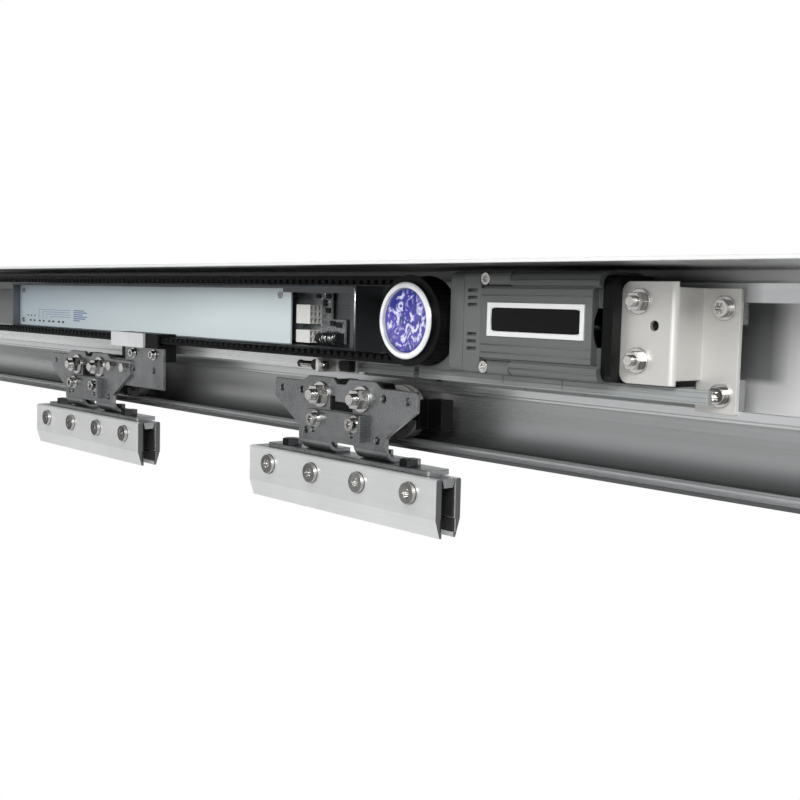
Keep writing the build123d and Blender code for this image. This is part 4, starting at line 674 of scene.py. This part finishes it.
def threads(places, thread, ends):
    # helices round an axis along y: x = r cos(a), z = r sin(a), depth = start + pitch a / 2 pi
    grid = {"steps": 18, "sides": 5}
    built = []
    turns = (ends[1] - ends[0]) / thread["pitch"]
    angle = np.linspace(0, 2 * np.pi * turns, int(grid["steps"] * turns))
    depth = ends[0] + thread["pitch"] * angle / (2 * np.pi)
    radii = np.full(len(angle), thread["ridge"] * mm)
    radii[0] = radii[-1] = 0
    for x, z in places:
        path = [x + thread["radius"] * np.cos(angle), -depth, z + thread["radius"] * np.sin(angle)]
        built.append(tube(np.stack(path, axis=1) * mm, radii, grid["sides"]))
    return joined(built)


def makeThreads():
    # threads on the studs that stand out of their nuts
    nut = {"inset": 12.5, "height": 25.7, "apart": 16.8, "start": 6.9, "end": 9.6}
    small = {"radius": 3.0, "pitch": 1.0, "ridge": 0.28}
    bracket = corners("motor_bracket")
    places = [(bracket.left + nut["inset"], nut["height"] + sign * nut["apart"]) for sign in (-1, 1)]
    ends = (bracket.front + nut["start"], bracket.front + nut["end"])
    makePiece("bracket_stud_threads", threads(places, small, ends), brightZinc, "rail_frame")
    stud = {"lift": 10.4, "start": 3.9, "end": 0.4}
    large = {"radius": 4.0, "pitch": 1.25, "ridge": 0.34}
    for tag in ("a", "b"):
        front = corners("carriage_fasteners_" + tag).front
        wheels = [corners("wheel_" + tag + str(i)) for i in (1, 2)]
        places = [((wheel.left + wheel.right) / 2, (wheel.bottom + wheel.top) / 2 + stud["lift"])
                  for wheel in wheels]
        surface = threads(places, large, (front - stud["start"], front - stud["end"]))
        makePiece("stud_threads_" + tag, surface, brightZinc, "carriage_" + tag)


for make in (makeDisc, makeLabelPanel, makeBodyRibs, makeConsoleRibs, makeTrayEdge, makeBoardParts, makeCoil,
             makeDiagram, makeThreads):
    make()
print("stage: new pieces")

cameraSpec = {"place": (0.972378, -0.598111, 0.038183), "heading": 48.255, "pitch": 4.85, "roll": 1.455,
              "lens": 51.413, "sensor": 36, "near": 0.02}


def makeCamera(spec):
    # heading turns from +y towards -x; pitch is downwards; roll lifts the right side
    heading, pitch, roll = (math.radians(spec[key]) for key in ("heading", "pitch", "roll"))
    level = math.cos(pitch)
    forward = Vector((-math.sin(heading) * level, math.cos(heading) * level, -math.sin(pitch)))
    right = Vector((math.cos(heading), math.sin(heading), 0))
    up = right.cross(forward)
    rolledRight = right * math.cos(roll) + up * math.sin(roll)
    rolledUp = up * math.cos(roll) - right * math.sin(roll)
    camera = bpy.data.cameras.new("photograph_view")
    camera.lens = spec["lens"]
    camera.sensor_width = spec["sensor"]
    camera.clip_start = spec["near"]
    holder = bpy.data.objects.new("photograph_view", camera)
    holder.matrix_world = Matrix((rolledRight, rolledUp, -forward)).transposed().to_4x4()
    holder.location = spec["place"]
    bpy.context.scene.collection.objects.link(holder)
    bpy.context.scene.camera = holder


makeCamera(cameraSpec)

lampSpec = {
    # name: place, point it faces, width and height in metres, watts
    "key_lamp": ((1.5, -1.9, 0.85), (0.35, 0.0, 0.0), (1.3, 0.8), 38.0),
    "fill_lamp": ((-1.6, -2.2, 0.5), (-0.1, 0.0, 0.0), (2.0, 1.2), 32.0),
    "top_lamp": ((0.2, -0.7, 1.5), (0.1, -0.1, 0.0), (1.8, 0.5), 14.0),
}
unmirroredLamps = ("fill_lamp",)


def makeLamps(spec):
    # rectangular area lamps, each turned to the point it faces
    for name, (place, target, size, watts) in spec.items():
        lamp = bpy.data.lights.new(name, "AREA")
        lamp.shape = "RECTANGLE"
        lamp.size, lamp.size_y = size
        lamp.energy = watts
        holder = bpy.data.objects.new(name, lamp)
        holder.location = place
        holder.visible_glossy = name not in unmirroredLamps
        holder.rotation_euler = (Vector(target) - Vector(place)).to_track_quat("-Z", "Y").to_euler()
        bpy.context.scene.collection.objects.link(holder)


makeLamps(lampSpec)

skySpec = {"diffuse": 0.22}


def makeSky(spec):
    # white behind the object and in what it mirrors, a plain grey dome for the light it gives
    world = bpy.data.worlds.new("studio_white")
    bpy.context.scene.world = world
    world.use_nodes = True
    tree = world.node_tree
    tree.nodes.clear()
    rays = addNode(tree, "ShaderNodeLightPath").outputs
    seen = maths(tree, "MAXIMUM", rays["Is Camera Ray"], rays["Is Glossy Ray"])
    shown = maths(tree, "MAXIMUM", seen, rays["Is Transmission Ray"])
    strength = mapped(tree, shown, target=(spec["diffuse"], 1.0))
    sky = addNode(tree, "ShaderNodeBackground", {"Color": (1, 1, 1, 1), "Strength": strength})
    addNode(tree, "ShaderNodeOutputWorld", {"Surface": sky.outputs[0]})


makeSky(skySpec)

stageSpec = {
    "floorDrop": -0.95, "floorSize": 24.0, "fade": (0.35, 1.15),
    # cards: corner low and corner high in metres, tone; they only show in what the metal mirrors
    "cards": {"dark_ceiling_card": ((-6.0, -5.0, 1.15), (2.6, -0.35, 1.15), "#1c1c1d"),
              "dark_front_card": ((-6.0, -3.6, 0.22), (1.4, -3.6, 2.6), "#161617"),
              "grey_floor_card": ((-6.0, -3.1, -0.55), (1.6, -0.5, -0.55), "#8c8c8c"),
              "dark_left_card": ((-3.0, -3.3, 0.02), (-3.0, -0.3, 1.6), "#141415")},
}


def stageSheet(name, outline, material):
    # one flat sheet of the stage
    mesh = bpy.data.meshes.new(name)
    mesh.from_pydata(outline, [], [(0, 1, 2, 3)])
    mesh.materials.append(material)
    sheet = bpy.data.objects.new(name, mesh)
    bpy.context.scene.collection.objects.link(sheet)
    return sheet


def makeFloor(spec):
    # a wide pale floor well below the object
    material, tree, shader, place = newFinish("pale_studio_floor")
    feed(tree, shader, {"Base Color": toLinear("#f7f7f7"), "Roughness": 0.9})
    # far from the object the floor turns into the white behind it, for what looks at it or mirrors it
    rays = addNode(tree, "ShaderNodeLightPath").outputs
    seen = maths(tree, "MAXIMUM", rays["Is Camera Ray"], rays["Is Glossy Ray"])
    far = addNode(tree, "ShaderNodeVectorMath", {0: place}, operation="LENGTH").outputs["Value"]
    share = maths(tree, "MULTIPLY", seen, mapped(tree, far, spec["fade"]))
    white = addNode(tree, "ShaderNodeEmission", {"Color": (1, 1, 1, 1), "Strength": 1.0}).outputs[0]
    mix = addNode(tree, "ShaderNodeMixShader", {0: share, 1: shader.outputs["BSDF"], 2: white})
    feed(tree, onlyNode(tree, "ShaderNodeOutputMaterial"), {"Surface": mix.outputs[0]})
    size = spec["floorSize"]
    outline = [(x * size, y * size, spec["floorDrop"]) for x, y in ((-1, -1), (1, -1), (1, 1), (-1, 1))]
    stageSheet("studio_floor", outline, material)


def makeCards(spec):
    # dark and grey sheets for the metal to mirror
    for name, (low, high, tone) in spec["cards"].items():
        material, tree, shader = newFinish("velvet_" + name)[:3]
        feed(tree, shader, {"Base Color": toLinear(tone), "Roughness": 1.0})
        # the second corner moves along x, or up where the card stands square to x
        second, fourth = (high[0], low[1], low[2]), (low[0], high[1], high[2])
        if low[0] == high[0]:
            second, fourth = (low[0], low[1], high[2]), (low[0], high[1], low[2])
        card = stageSheet(name, [low, second, high, fourth], material)
        card.visible_camera = card.visible_diffuse = card.visible_shadow = card.visible_transmission = False


makeFloor(stageSpec)
makeCards(stageSpec)
print("stage: camera, lamps and stage")

bpy.context.scene.view_settings.view_transform = "Standard"
